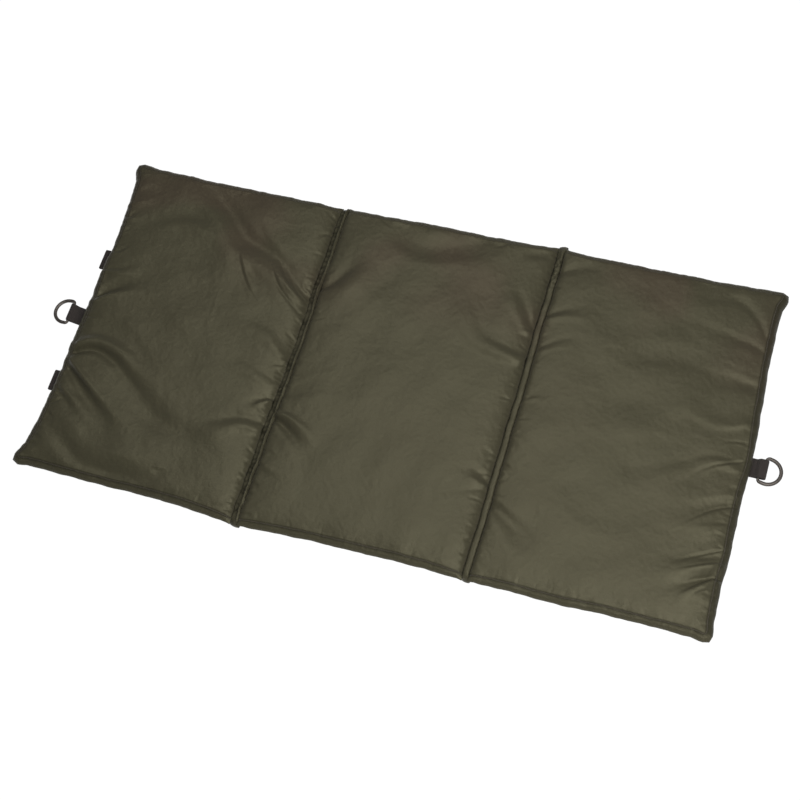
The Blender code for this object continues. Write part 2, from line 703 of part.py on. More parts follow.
def tape_hollow(middle_y):
    """The hollow in the middle panel's base over one loop tape."""
    reach = LOOP_TAPE_LENGTH / 2 + DENT_MARGIN
    width = LOOP_TAPE_WIDTH + 2 * DENT_MARGIN
    return Hollow(LOOP_TAPE_X - reach, LOOP_TAPE_X + reach, middle_y, width, TAPE_DENT)


def left_passages():
    """Where the two straps and the ring's tab leave the left seam."""
    half = STRAP_WIDTH / 2 + CLEARANCE
    height = STRAP_ROOT_HIGH + CLEARANCE
    found = [Passage(y - half, y + half, height) for y in STRAP_SIDES_Y.values()]
    low_y = RING_Y - LEFT_TAB_LEAN - TAB_WIDTH / 2 - CLEARANCE
    high_y = RING_Y - LEFT_TAB_LEAN / 2 + TAB_WIDTH / 2 + CLEARANCE
    return found + [Passage(low_y, high_y, TAB_ROOT_HIGH + CLEARANCE)]


def right_passages():
    """Where the ring's tab leaves the right seam."""
    half = TAB_WIDTH / 2 + CLEARANCE
    return [Passage(RING_Y - half, RING_Y + half, TAB_ROOT_HIGH + CLEARANCE)]


def main():
    collection = start_collection("unhooking_mat")
    left_x = LEFT_FOLD_X - HALF_CHANNEL
    right_x = RIGHT_FOLD_X + HALF_CHANNEL
    middle_low = LEFT_FOLD_X + HALF_CHANNEL
    middle_high = RIGHT_FOLD_X - HALF_CHANNEL
    strap_hollows = [strap_hollow(y) for y in STRAP_SIDES_Y.values()]
    tape_hollows = [tape_hollow(y) for y in STRAP_SIDES_Y.values()]
    left = Panel("left", -HALF_LENGTH, left_x, -1, strap_hollows, left_passages())
    middle = Panel("middle", middle_low, middle_high, 0, tape_hollows)
    right = Panel("right", right_x, HALF_LENGTH, 1, (), right_passages())

    left_pivot = add_pivot(collection, "left_panel", (LEFT_FOLD_X, 0, LEFT_FOLD_HEIGHT))
    right_pivot = add_pivot(collection, "right_panel", (RIGHT_FOLD_X, 0, RIGHT_FOLD_HEIGHT))
    for panel, pivot in ((left, left_pivot), (middle, None), (right, right_pivot)):
        add_top_cover(collection, panel, pivot)
        add_base_cover(collection, panel, pivot)
        add_foam_pad(collection, panel, pivot)
    for panel, pivot in ((left, left_pivot), (right, right_pivot)):
        add_side_wall(collection, panel, 0, panel.name + "_side_wall", pivot)
        add_welt(collection, panel, 0, panel.name + "_welt", pivot)
    for side, side_name in ((1, "far"), (-1, "near")):
        add_side_wall(collection, middle, side, "middle_" + side_name + "_side_wall", None)
        add_welt(collection, middle, side, "middle_" + side_name + "_welt", None)
    add_fold_strip(collection, "left_fold_strip", LEFT_FOLD_X)
    add_fold_strip(collection, "right_fold_strip", RIGHT_FOLD_X)

    left_bar_x = ring_bar_x(0.0)
    right_bar_x = ring_bar_x(RIGHT_RING_TWIST)
    left_place = (-left_bar_x, RING_Y, BAR_HEIGHT)
    right_place = (right_bar_x, RING_Y, BAR_HEIGHT)
    left_ring = add_pivot(collection, "left_ring", left_place, 0.0, left_pivot)
    right_ring = add_pivot(collection, "right_ring", right_place, RIGHT_RING_TWIST, right_pivot)
    add_d_ring(collection, "left_d_ring", left_ring, -1)
    add_d_ring(collection, "right_d_ring", right_ring, 1)
    add_ring_tab(collection, "left_ring_tab", -1, left_bar_x, 0.0, LEFT_TAB_LEAN, left_pivot)
    slack = RIGHT_EYE_SLACK
    add_ring_tab(collection, "right_ring_tab", 1, right_bar_x, slack, 0.0, right_pivot)

    for side, middle_y in STRAP_SIDES_Y.items():
        place = (STRAP_FOLD_X, middle_y, STRAP_TURN_HEIGHT)
        strap_pivot = add_pivot(collection, side + "_strap", place, 0.0, left_pivot)
        add_closure_strap(collection, side, middle_y, left_pivot, strap_pivot)
        add_loop_tape(collection, side, middle_y)


main()
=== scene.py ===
"""Dressed model of an unhooking mat that folds in three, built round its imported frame.

Metres, +Z up. The origin is on the ground under the centre of the mat. +X runs along the mat from the
end with the closure straps to the plain end, and +Y runs from its near long edge to its far one.
"""

import json
import math

import bmesh
import bpy
import numpy as np
from mathutils import Matrix, Vector


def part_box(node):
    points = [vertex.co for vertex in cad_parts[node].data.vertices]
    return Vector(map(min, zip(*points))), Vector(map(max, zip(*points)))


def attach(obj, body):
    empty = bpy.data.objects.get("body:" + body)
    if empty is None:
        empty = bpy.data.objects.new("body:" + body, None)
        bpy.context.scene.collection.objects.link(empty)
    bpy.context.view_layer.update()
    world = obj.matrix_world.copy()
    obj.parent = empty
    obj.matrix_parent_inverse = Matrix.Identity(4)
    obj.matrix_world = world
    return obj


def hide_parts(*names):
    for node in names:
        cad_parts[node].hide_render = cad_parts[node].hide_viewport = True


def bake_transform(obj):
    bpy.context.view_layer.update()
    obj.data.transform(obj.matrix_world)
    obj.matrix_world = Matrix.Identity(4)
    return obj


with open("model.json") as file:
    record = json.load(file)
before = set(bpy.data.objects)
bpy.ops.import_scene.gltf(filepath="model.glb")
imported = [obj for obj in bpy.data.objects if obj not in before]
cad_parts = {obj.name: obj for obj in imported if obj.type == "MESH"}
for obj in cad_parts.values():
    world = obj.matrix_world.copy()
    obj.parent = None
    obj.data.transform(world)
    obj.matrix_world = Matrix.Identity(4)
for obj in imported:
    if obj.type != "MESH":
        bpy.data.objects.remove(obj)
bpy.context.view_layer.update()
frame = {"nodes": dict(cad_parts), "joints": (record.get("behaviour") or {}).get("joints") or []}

bl_info = {
    "name": "Folding Unhooking Mat",
    "version": (1, 0, 0),
    "blender": (4, 5, 0),
    "location": "3D View > Sidebar > Mat",
    "description": "Builds a padded fishing mat with sewn covers, webbing, D-rings and closure straps",
    "category": "Object",
}

JOINTS = {joint["name"]: joint for joint in frame["joints"]}

# The panels' outline and section
HALF_LENGTH = 0.497
HALF_WIDTH = 0.250
LEFT_FOLD_X = JOINTS["left_fold"]["pos_m"][0]
RIGHT_FOLD_X = JOINTS["right_fold"]["pos_m"][0]
ROW_PLACES = {"left": (-0.006, 0.006), "right": (-0.0045, 0.006)}
SEAM_HEIGHT = 0.0195
CROWN_HEIGHT = 0.0055
TOP_HEIGHT = SEAM_HEIGHT + CROWN_HEIGHT
CHANNEL_HEIGHT = 0.0135
EDGE_REACH = 0.014
CHANNEL_REACH = 0.015
STEEP_DROP = 0.0045
STEEP_REACH = 0.0028
GENTLE_DROP = 0.0055
GENTLE_REACH = 0.020
LEFT_DRAW = 0.011
RIGHT_DRAW = 0.0065
LONG_DRAW = 0.0025
RING_PULL_REACH = 0.060
CORNER_SHARPNESS = 5
SEAM_CORNER_RADIUS = 0.0045
ROW_DIP = 0.0024
ROW_DIP_REACH = 0.0030
FAR_RISE = 0.0032
CHANNEL_LIFT = 0.0070
CHANNEL_LIFT_REACH = 0.020
BASE_THICKNESS = 0.001
BULGE = 0.0085
DENT_SLOPE = 0.007
DENT_MARGIN = 0.003
STRAP_HOLLOW = 0.0031
TAPE_HOLLOW = 0.0012
BEND_REACH = 0.024

# Rings, their tabs, and the closure straps
RING_BAR_RADIUS = 0.0021
RING_WIRE_RADIUS = 0.0026
RING_INNER_WIDTH = 0.0314
RING_REACH = 0.0280
RING_CORNER_RADIUS = 0.0035
RING_Y = JOINTS["left_ring_swing"]["pos_m"][1]
BAR_HEIGHT = JOINTS["left_ring_swing"]["pos_m"][2]
WEBBING_THICKNESS = 0.0015
TAB_WIDTH = 0.0275
STRAP_WIDTH = 0.032
STRAP_THICKNESS = 0.0016
STRAP_SIDES_Y = {side: JOINTS[side + "_strap_swing"]["pos_m"][1] for side in ("far", "near")}
STRAP_FOLD_X = JOINTS["far_strap_swing"]["pos_m"][0]
STRAP_TURN_HEIGHT = JOINTS["far_strap_swing"]["pos_m"][2]
STRAP_STAND_OUT = 0.0050
STRAP_TURN_RADIUS = 0.0016

QUARTER = math.pi / 2
ENDS = (("left", -1), ("right", 1))

# How far the sewn outline stands outside the frame's at places along each side of the mat, all in mm, as
# measured in the photograph
EDGE_WANDER = {
    "far": ((-497, 3.2), (-470, 0.6), (-420, 0.4), (-360, -0.9), (-240, -1.9), (-170, -2.2), (-120, -1.8),
            (-60, -0.4), (0, 0.8), (60, 0.3), (130, 0.4), (158, 3), (172.5, 3.6), (200, 1), (300, 0.4),
            (380, 0.8), (450, 1.6), (497, 2)),
    "near": ((-497, -2.1), (-480, -4.2), (-420, -1.4), (-300, -1.4), (-240, 0.2), (-185, 4), (-160, 6.4),
             (-120, 5), (-60, 2.6), (0, 1.8), (60, 0.6), (120, 0.6), (160, 1.6), (180, 1.4), (240, 1.8),
             (300, 3.4), (360, 0.4), (430, 0.8), (480, -0.4), (497, 2.7)),
    "left": ((-250, 5.6), (-232, 0), (-184, -1.1), (-138, 0.2), (-92, -0.6), (-46, -0.8), (0, -0.8),
             (46, -0.8), (92, -0.6), (138, -3.6), (184, -0.6), (230, -2.7), (250, 1.6)),
    "right": ((-250, 1.2), (-230, 0.2), (-184, 1.3), (-138, 4.7), (-92, 2.4), (-46, -0.8), (0, 0), (46, -0.2),
              (92, 0), (138, -2.6), (184, -4.8), (232, -7), (250, -2)),
}
# How far each fold channel lies off its straight line at places across the mat, all in mm
FOLD_SWAYS = {
    "left": ((-250, 0), (-130, 0), (-40, 1.8), (20, 2.6), (80, 0.2), (150, -1.4), (250, -1.2)),
    "right": ((-250, 1.2), (-130, 1.4), (20, 0.6), (150, -0.4), (250, -0.6)),
}
WANDER_STEP = 0.001
SWAY = 0.0006
SWAY_REACH = 0.012

# Creases of the covers that the photograph shows. Each starts in a seam or runs free; then come half its
# width, how far the cloth stands up left of the line, on it and right of it, and its line, all in mm.
# For most of them a fit to the photograph's light and shade gave the three heights.
CREASES = {
    "left": (
        ("free", 12, (-3, -0.1, 2), ((-400, 240), (-350, 207), (-297, 157), (-263, 143), (-223, 123),
         (-187, 90), (-170, 70))),
        ("free", 6, (0.5, 1.9, 0), ((-240, 142), (-218, 112), (-175, 83))),
        ("free", 4.5, (-0.5, 0, 1.9), ((-223, 135), (-198, 109), (-168, 89))),
        ("seam", 4, (-0.8, -0.5, 0), ((-166, 97), (-176, 105), (-196, 131))),
        ("free", 6, (-0.3, 1.4, -0.6), ((-288, 143), (-274, 118), (-252, 86))),
        ("free", 10, (0.5, 0.6, 0.9), ((-285, 235), (-245, 190), (-205, 145))),
        ("seam", 7, (0.2, 0.6, 0), ((-485, 215), (-470, 222), (-450, 232))),
        ("seam", 6, (0.1, 0.9, -0.5), ((-485, 185), (-470, 190), (-450, 200))),
        ("seam", 5, (-0.7, 0.1, 0.6), ((-485, 160), (-470, 168), (-455, 180))),
        ("seam", 5, (-0.6, 0.5, 0.9), ((-484, 67), (-450, 73), (-425, 91))),
        ("seam", 7, (-2.6, -2.3, 1.5), ((-486, 20), (-460, 38), (-430, 53), (-400, 62))),
        ("seam", 9, (2.4, 2.6, -3.2), ((-485, -66), (-450, -53), (-410, -63), (-377, -83), (-330, -107),
         (-290, -113))),
        ("seam", 8, (2.3, -2.9, -2.3), ((-484, -90), (-430, -133), (-383, -167), (-343, -193))),
        ("seam", 7, (-0.3, 1.3, -1.8), ((-484, -125), (-440, -153), (-415, -165))),
        ("free", 11, (1.4, 0.2, -2.4), ((-465, -180), (-400, -220), (-350, -223), (-300, -217))),
        ("seam", 9, (1.9, 0.7, -1.3), ((-166, -115), (-177, -117), (-203, -120), (-250, -147), (-290, -157))),
        ("seam", 6, (1.6, -0.5, -0.9), ((-166, -68), (-180, -76), (-195, -87))),
        ("seam", 4.2, (1.1, -1, -1.6), ((-166, -71), (-187, -83), (-202, -103))),
        ("seam", 3.6, (-0.3, -0.5, -0.5), ((-166, -103), (-185, -103), (-202, -103))),
        ("seam", 8, (0.7, 1, 0), ((-166, -10), (-190, 10), (-203, 20), (-250, 33), (-290, 60))),
        ("seam", 7, (0.7, 0.6, -0.2), ((-166, -48), (-185, -47), (-230, -33), (-280, -33))),
        ("free", 12, (-0.4, 1.4, 0.4), ((-440, 150), (-380, 170), (-330, 150), (-290, 110))),
        ("free", 12, (0.1, -0.5, -0.3), ((-480, -20), (-440, -15), (-400, -30), (-350, -85))),
        ("free", 12, (-1.9, -1.8, -0.1), ((-400, -110), (-350, -140), (-300, -160), (-250, -170))),
        ("seam", 6, (-0.3, -0.3, -0.3), ((-166, 45), (-190, 55), (-215, 85))),
        ("free", 2.1, (0.5, -1.5, 0.3), ((-239, 135), (-223, 112), (-211, 97), (-194, 83), (-170, 66))),
        ("free", 1.9, (0.4, -1.2, 0.4), ((-225, 140), (-210, 118), (-195, 102))),
        ("free", 1.8, (0.4, -1, 0.2), ((-199, 113), (-184, 98), (-167, 88))),
        ("seam", 2, (0, -0.8, 0.5), ((-161, 130), (-185, 128), (-201, 131))),
        ("seam", 1.9, (0.4, -1.1, 0.2), ((-160, 97), (-170, 101), (-184, 111))),
        ("free", 2.2, (0.3, -0.9, 0.4), ((-291, 140), (-277, 113), (-262, 92), (-241, 71))),
    ),
    "middle": (
        ("free", 13, (-2.1, -1.3, 0.5), ((-83, 232), (-30, 203), (37, 213), (77, 233))),
        ("seam", 7, (-0.6, -1.7, -0.3), ((-154, 115), (-137, 127), (-117, 153), (-90, 163))),
        ("seam", 9, (1.9, 1.6, -0.3), ((168, 76), (150, 73), (97, 87), (70, 120), (50, 160))),
        ("seam", 7, (0.9, 0.4, -1.2), ((168, 118), (157, 123), (129, 161), (94, 183))),
        ("seam", 7, (2.5, 0.6, -3.6), ((-154, -95), (-137, -100), (-103, -120), (-83, -147))),
        ("seam", 6, (1.4, -0.5, -1.5), ((168, -122), (143, -113), (123, -123))),
        ("seam", 5, (-0.1, 0.1, -0.6), ((168, -132), (144, -144), (113, -161))),
        ("free", 7, (-0.1, 0.4, -0.2), ((115, -118), (107, -147), (112, -165))),
        ("free", 8, (-0.4, -1.1, 0), ((120, 232), (140, 238), (165, 240))),
        ("free", 12, (1.5, 1.9, 0.4), ((-130, 90), (-100, 130), (-85, 170))),
        ("free", 12, (1.3, 1.5, 0.3), ((120, 100), (130, 130), (125, 170))),
        ("seam", 7, (-0.6, -0.6, -0.6), ((-154, -60), (-130, -50), (-90, -30), (-40, -20))),
        ("seam", 7, (1.1, -0.4, -0.2), ((-154, -170), (-130, -185), (-90, -190))),
        ("free", 13, (-0.3, -0.7, -0.2), ((-100, -120), (-85, -160), (-80, -210))),
        ("free", 13, (0.1, -0.4, -0.4), ((0, -230), (-10, -150), (0, -60))),
    ),
    "right": (
        ("seam", 8, (-1.7, -1.9, -0.7), ((178, -150), (190, -157), (223, -180), (250, -207), (270, -235))),
        ("seam", 5, (-0.3, -0.2, -0.2), ((178, -206), (187, -210), (211, -221), (234, -234))),
        ("seam", 6, (-0.8, 0.3, 1.1), ((178, 141), (200, 152), (230, 160), (250, 173))),
        ("seam", 6, (-0.3, -0.9, -0.3), ((178, 215), (200, 228), (250, 240))),
        ("seam", 5, (-0.7, 0.3, 0.5), ((178, 87), (185, 91), (212, 107), (232, 110), (247, 101))),
        ("seam", 8, (0.7, 0.7, -0.4), ((495, -17), (450, -17), (397, -47), (350, -67), (297, -70))),
        ("seam", 6, (-1.3, -1.5, -1), ((495, -65), (450, -87), (403, -110))),
        ("seam", 8, (3, 1.3, -0.6), ((495, -153), (450, -167), (397, -187))),
        ("seam", 6, (2.4, 0.7, -2.7), ((490, -178), (450, -207), (437, -220))),
        ("seam", 7, (-0.4, -0.8, -1), ((495, 100), (450, 103), (403, 100), (370, 97))),
        ("seam", 6, (1, 0.6, 0.3), ((495, 52), (450, 40), (403, 53), (350, 53))),
        ("seam", 7, (0.2, -0.3, -1), ((495, 152), (450, 163), (383, 170), (350, 163))),
        ("seam", 8, (-1, 0.1, 0.2), ((492, 180), (470, 213), (437, 237), (383, 233), (337, 230))),
        ("seam", 6, (0.5, 0.8, 0.9), ((495, -105), (460, -120), (420, -130))),
        ("seam", 6, (-0.2, 0.6, -0.2), ((178, 20), (200, 15), (230, 20))),
        ("seam", 6, (-0.4, 0.3, 0.7), ((178, -40), (200, -50), (230, -70))),
        ("seam", 6, (-0.6, -0.4, 0.2), ((178, -90), (205, -105), (240, -110))),
        ("free", 12, (0.2, -0.7, -0.9), ((300, 120), (360, 130), (430, 130))),
        ("free", 12, (0, 0.3, 0.3), ((240, -130), (300, -150), (370, -150))),
        ("free", 12, (0.3, 0.6, 0.8), ((300, 0), (360, 20), (420, 30))),
        ("seam", 2.4, (0.6, -1.3, 0.2), ((495, -135), (473, -146), (450, -159), (427, -172))),
        ("seam", 2.2, (0.6, -1.2, 0), ((495, -152), (471, -163), (449, -173), (429, -183))),
        ("seam", 2.3, (0.8, -1.7, 0.2), ((494, -173), (480, -184), (464, -196), (442, -214))),
        ("seam", 2, (0.5, -1, 0.2), ((494, -189), (479, -200), (464, -212))),
        ("seam", 2.6, (0.4, -1.3, 0.2), ((497, -4), (478, -13), (456, -23), (438, -36), (420, -55))),
        ("seam", 2.4, (0.4, -0.8, 0.3), ((491, -73), (469, -84), (445, -103), (423, -122))),
        ("seam", 2, (0.5, -0.9, 0), ((498, 15), (488, 19), (472, 17), (453, 10))),
    ),
}
# Straight lines that folding in the packet left on the covers: half width, height and line, all in mm
PACKET_LINES = {
    "left": (1.2, 0.14, ((-306, 148), (-299, 61), (-293, -45), (-288, -106))),
    "right": (1.2, 0.1, ((246, 104), (249, 10), (252, -73), (254, -140))),
}


def length_field(name, description, default):
    return bpy.props.FloatProperty(
        name=name, description=description, default=default, min=0.0001, unit="LENGTH")


def colour_field(name, description, default):
    return bpy.props.FloatVectorProperty(
        name=name, description=description, default=default, subtype="COLOR", size=3, min=0.0, max=1.0)


def angle_field(name, description, degrees):
    return bpy.props.FloatProperty(
        name=name, description=description, default=math.radians(degrees), subtype="ANGLE")


def place_field(name, description, default):
    return bpy.props.FloatVectorProperty(
        name=name, description=description, default=default, subtype="XYZ", size=3, unit="LENGTH")


def power_field(name, description, default):
    return bpy.props.FloatProperty(name=name, description=description, default=default, unit="POWER")


class MatSizes(bpy.types.PropertyGroup):
    """Sizes of the mat's sewn detail."""

    cover_grid: length_field("Cover Grid", "Spacing of the cover's mesh", 0.0020)
    crease_scale: bpy.props.FloatProperty(
        name="Crease Depth", description="How deep the covers crease, as a factor", default=1.85, min=0.0)
    undulation: length_field("Undulation", "Slow rise and fall of the covers", 0.0008)
    gather_depth: length_field("Gather Depth", "Depth of the gathers along the seams", 0.0008)
    stitch_length: length_field("Stitch Length", "Length of one stitch", 0.0036)
    thread_radius: length_field("Thread Radius", "Radius of the sewing thread", 0.00035)
    weave_pitch: length_field("Weave Pitch", "Distance between two yarns of the cover", 0.0006)
    rib_pitch: length_field("Rib Pitch", "Distance between two ribs of the webbing", 0.0022)


class MatColours(bpy.types.PropertyGroup):
    """Colours of the mat's finishes."""

    cover: colour_field("Cover", "Coated nylon of the top covers", (0.068, 0.0625, 0.0385))
    seam: colour_field("Seam", "Sewn edge and its thread", (0.058, 0.049, 0.030))
    base: colour_field("Base", "Fabric on the ground side", (0.030, 0.029, 0.024))
    webbing: colour_field("Webbing", "Straps and ring tabs", (0.038, 0.030, 0.026))
    steel: colour_field("Steel", "Plated wire of the rings", (0.135, 0.120, 0.108))
    tape: colour_field("Touch Tape", "Hook and loop tape", (0.020, 0.020, 0.020))
    foam: colour_field("Foam", "Foam inside the panels", (0.55, 0.56, 0.55))


class MatStage(bpy.types.PropertyGroup):
    """The camera and the lamps."""

    azimuth: angle_field("Azimuth", "Way the camera looks, round the mat", 33.477)
    elevation: angle_field("Elevation", "Camera's height above the horizon", 64.43)
    roll: angle_field("Roll", "Turn of the picture", -17.911)
    place: place_field("Camera Place", "Where the camera stands", (0.53895, -0.82426, 2.00967))
    lens: bpy.props.FloatProperty(
        name="Lens", description="Focal length on a 36 mm sensor, in millimetres", default=70.52)
    key_place: place_field("Key Lamp", "Where the key lamp hangs", (0.735, -0.555, 1.220))
    key_power: power_field("Key Power", "Power of the key lamp", 16.3)
    far_place: place_field("Far Lamp", "Where the lamp on the far side hangs", (-0.194, 0.336, 1.449))
    far_power: power_field("Far Power", "Power of the lamp on the far side", 8.5)
    lamp_size: length_field("Lamp Size", "Side of each square lamp", 1.2)


def settings():
    return bpy.context.scene.mat_sizes


def colours():
    return bpy.context.scene.mat_colours


def unit(vectors):
    """Each row brought to length one."""
    return vectors / np.linalg.norm(vectors, axis=1)[:, None]


def run_along(path):
    """How far along a path each of its places lies."""
    return np.concatenate([[0], np.cumsum(np.linalg.norm(np.diff(path, axis=0), axis=1))])


def angles_round(count):
    return np.linspace(0, 2 * math.pi, count + 1)[:-1]


def smooth_step(value):
    value = np.clip(value, 0, 1)
    return value * value * (3 - 2 * value)


class Ripple:
    """A smooth waviness over the mat's plan, between -1 and 1 nearly everywhere."""

    def __init__(self, seed, shortest, longest, count=16):
        dice = np.random.default_rng(seed)
        lengths = shortest * (longest / shortest) ** dice.random(count)
        angles = dice.random(count) * 2 * math.pi
        self.phases = dice.random(count) * 2 * math.pi
        self.along_x = 2 * math.pi / lengths * np.cos(angles)
        self.along_y = 2 * math.pi / lengths * np.sin(angles)
        self.gain = 1 / math.sqrt(count)

    def __call__(self, x, y):
        total = np.zeros(np.shape(x))
        for along_x, along_y, phase in zip(self.along_x, self.along_y, self.phases):
            total += np.sin(along_x * x + along_y * y + phase)
        return total * self.gain


def curve_through(points, count):
    """Places on a smooth curve through points, evenly spread in its own measure."""
    points = np.asarray(points, float)
    padded = np.vstack([2 * points[0] - points[1], points, 2 * points[-1] - points[-2]])
    found = []
    for share in np.linspace(0, len(points) - 1, count):
        i = min(int(share), len(points) - 2)
        t = share - i
        a, b, c, d = padded[i:i + 4]
        found.append(0.5 * (2 * b + (c - a) * t + (2 * a - 5 * b + 4 * c - d) * t * t
                            + (3 * b - a - 3 * c + d) * t ** 3))
    return np.array(found)


def line_gaps(x, y, line):
    """Distance of each place to a bent line, positive on its left, and its share along the line."""
    best = np.full(x.shape, np.inf)
    side = np.zeros(x.shape)
    share = np.zeros(x.shape)
    spans = np.diff(line, axis=0)
    lengths = np.hypot(spans[:, 0], spans[:, 1])
    run = np.concatenate([[0], np.cumsum(lengths)])
    for start, span, length, before in zip(line, spans, lengths, run):
        dx, dy = x - start[0], y - start[1]
        t = np.clip((dx * span[0] + dy * span[1]) / length ** 2, 0, 1)
        gap = np.hypot(dx - t * span[0], dy - t * span[1])
        closer = gap < best
        best = np.where(closer, gap, best)
        side = np.where(closer, np.sign(span[0] * dy - span[1] * dx), side)
        share = np.where(closer, (before + t * length) / run[-1], share)
    return best * side, share


class Gathers:
    """Small dips at uneven spaces along a line, each with its own depth, width and slant."""

    def __init__(self, seed, start, end, spacing, width):
        dice = np.random.default_rng(seed)
        gaps = spacing * (0.45 + 1.1 * dice.random(int((end - start) / spacing * 2) + 4))
        places = start + np.cumsum(gaps)
        self.places = places[places < end]
        count = len(self.places)
        self.widths = width * (0.6 + 0.8 * dice.random(count))
        self.depths = 0.2 + 0.8 * dice.random(count)
        self.slants = dice.normal(0, 0.5, count)

    def __call__(self, along, away=0.0):
        total = np.zeros(np.shape(along))
        for place, width, depth, slant in zip(self.places, self.widths, self.depths, self.slants):
            total += depth * np.exp(-((along - place - slant * away) / width) ** 2)
        return total


class Outline:
    """How the mat's sewn outline and its stitched rows wander."""

    def __init__(self):
        self.stations = np.arange(-0.56, 0.56, WANDER_STEP)
        kernel = np.exp(-np.linspace(-2, 2, 15) ** 2)
        kernel /= kernel.sum()
        self.levels = {}
        for side, points in EDGE_WANDER.items():
            places, values = np.array(points).T / 1000
            level = np.interp(self.stations, places, values)
            self.levels[side] = np.convolve(np.pad(level, 7, mode="edge"), kernel, "valid")

    def out(self, side, along):
        return np.interp(along, self.stations, self.levels[side])

    def shifted(self, x, y):
        across = smooth_step((np.abs(y) / HALF_WIDTH - 0.5) / 0.5)
        along = smooth_step((np.abs(x) / HALF_LENGTH - 0.75) / 0.25)
        out_y = np.where(y > 0, self.out("far", x), self.out("near", x))
        out_x = np.where(x > 0, self.out("right", y), self.out("left", y))
        return x + np.sign(x) * out_x * along, y + np.sign(y) * out_y * across


def fold_sway(near_x, y):
    """How far the rows and the web of the fold channel near a place wander along the mat."""
    places, shifts = np.array(FOLD_SWAYS["left" if near_x < 0 else "right"]).T / 1000
    wave = Ripple(hash_of("fold", 1 if near_x < 0 else 2), 0.030, 0.120)(y, 0 * y)
    return np.interp(y, places, shifts) + SWAY * wave


CREASE_SHOULDERS = (1.2, 0.0, -1.2)
CREASE_REACH = 5
# Small creases along the seams: the least length, depth and width and what chance adds to each, and the
# spread of their slants
PUCKER_SHARES = {"left": 1.0, "middle": 0.8, "right": 0.8}
ROW_PUCKERS = {"length": (0.008, 0.020), "depth": (0.0005, 0.0009), "width": (0.0018, 0.0016), "slant": 0.45}
SIDE_PUCKERS = {"length": (0.007, 0.008), "depth": (0.0003, 0.0004), "width": (0.0016, 0.0018), "slant": 0.35}
END_PUCKERS = {"length": (0.007, 0.022), "depth": (0.0003, 0.0008), "width": (0.0016, 0.0018), "slant": 0.35}


class Crease:
    """A crease in a cover: how far the cloth stands up left of its line, on it and right of it."""

    def __init__(self, start, half_width, heights, points):
        self.from_seam = start == "seam"
        self.half_width = half_width
        self.heights = heights
        self.line = curve_through(points, 5 * len(points))

    def height(self, x, y):
        total = np.zeros(x.shape)
        reach = CREASE_REACH * self.half_width
        low, high = self.line.min(0) - reach, self.line.max(0) + reach
        near = (x > low[0]) & (x < high[0]) & (y > low[1]) & (y < high[1])
        if not near.any():
            return total
        gap, share = line_gaps(x[near], y[near], self.line)
        if self.from_seam:
            strength = 1 - smooth_step(share ** 1.3)
            width = self.half_width * (0.55 + 0.9 * share)
        else:
            strength = np.sin(math.pi * np.clip(0.06 + 0.88 * share, 0, 1)) ** 0.8
            width = np.full(share.shape, self.half_width)
        for height, place in zip(self.heights, CREASE_SHOULDERS):
            if height:
                total[near] += height * strength * np.exp(-(gap / width - place) ** 2)
        return total


def new_pucker(dice, kind, start, line):
    """A small valley with a low ridge on one side. line gives its middle and tip for a length and slant."""
    length = kind["length"][0] + kind["length"][1] * dice.random() ** 2
    slant = dice.normal(0, kind["slant"])
    depth = kind["depth"][0] + kind["depth"][1] * dice.random()
    width = kind["width"][0] + kind["width"][1] * dice.random()
    heights = [0, -depth, 0]
    heights[int(dice.choice((0, 2)))] = depth * (0.3 + 0.5 * dice.random())
    return Crease("seam", width, heights, (start, *line(*start, length, slant)))


class Hollow:
    """A flat hollow with sloping sides, pressed in the base cover over what lies under it."""

    def __init__(self, node, depth):
        low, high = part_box(node)
        self.low = (low[0] - DENT_MARGIN, low[1] - DENT_MARGIN)
        self.high = (high[0] + DENT_MARGIN, high[1] + DENT_MARGIN)
        self.depth = depth

    def depth_at(self, x, y):
        out_x = np.maximum(0, np.maximum(self.low[0] - x, x - self.high[0])) / DENT_SLOPE
        out_y = np.maximum(0, np.maximum(self.low[1] - y, y - self.high[1])) / DENT_SLOPE
        return self.depth * np.maximum(0, 1 - out_x) * np.maximum(0, 1 - out_y)


def drawn_in(share):
    return 1 - np.abs(2 * share - 1) ** CORNER_SHARPNESS


HELD_REACH = 0.009
SEAM_RIPPLE = 0.0006
SEAM_RIPPLE_REACH = 0.006
LEAST_LOFT = 0.0008
PIT_SPACING = 0.0095
PIT_WIDTH = 0.0021
PIT_DEPTHS = {"left": 0.0022, "middle": 0.0014, "right": 0.0014}
PIT_REACH = 0.0050
FAR_PIT_SHARE = 0.6
SLOW_WAVES = (0.050, 0.150)
QUICK_WAVES = (0.012, 0.040)
QUICK_SHARE = 0.12


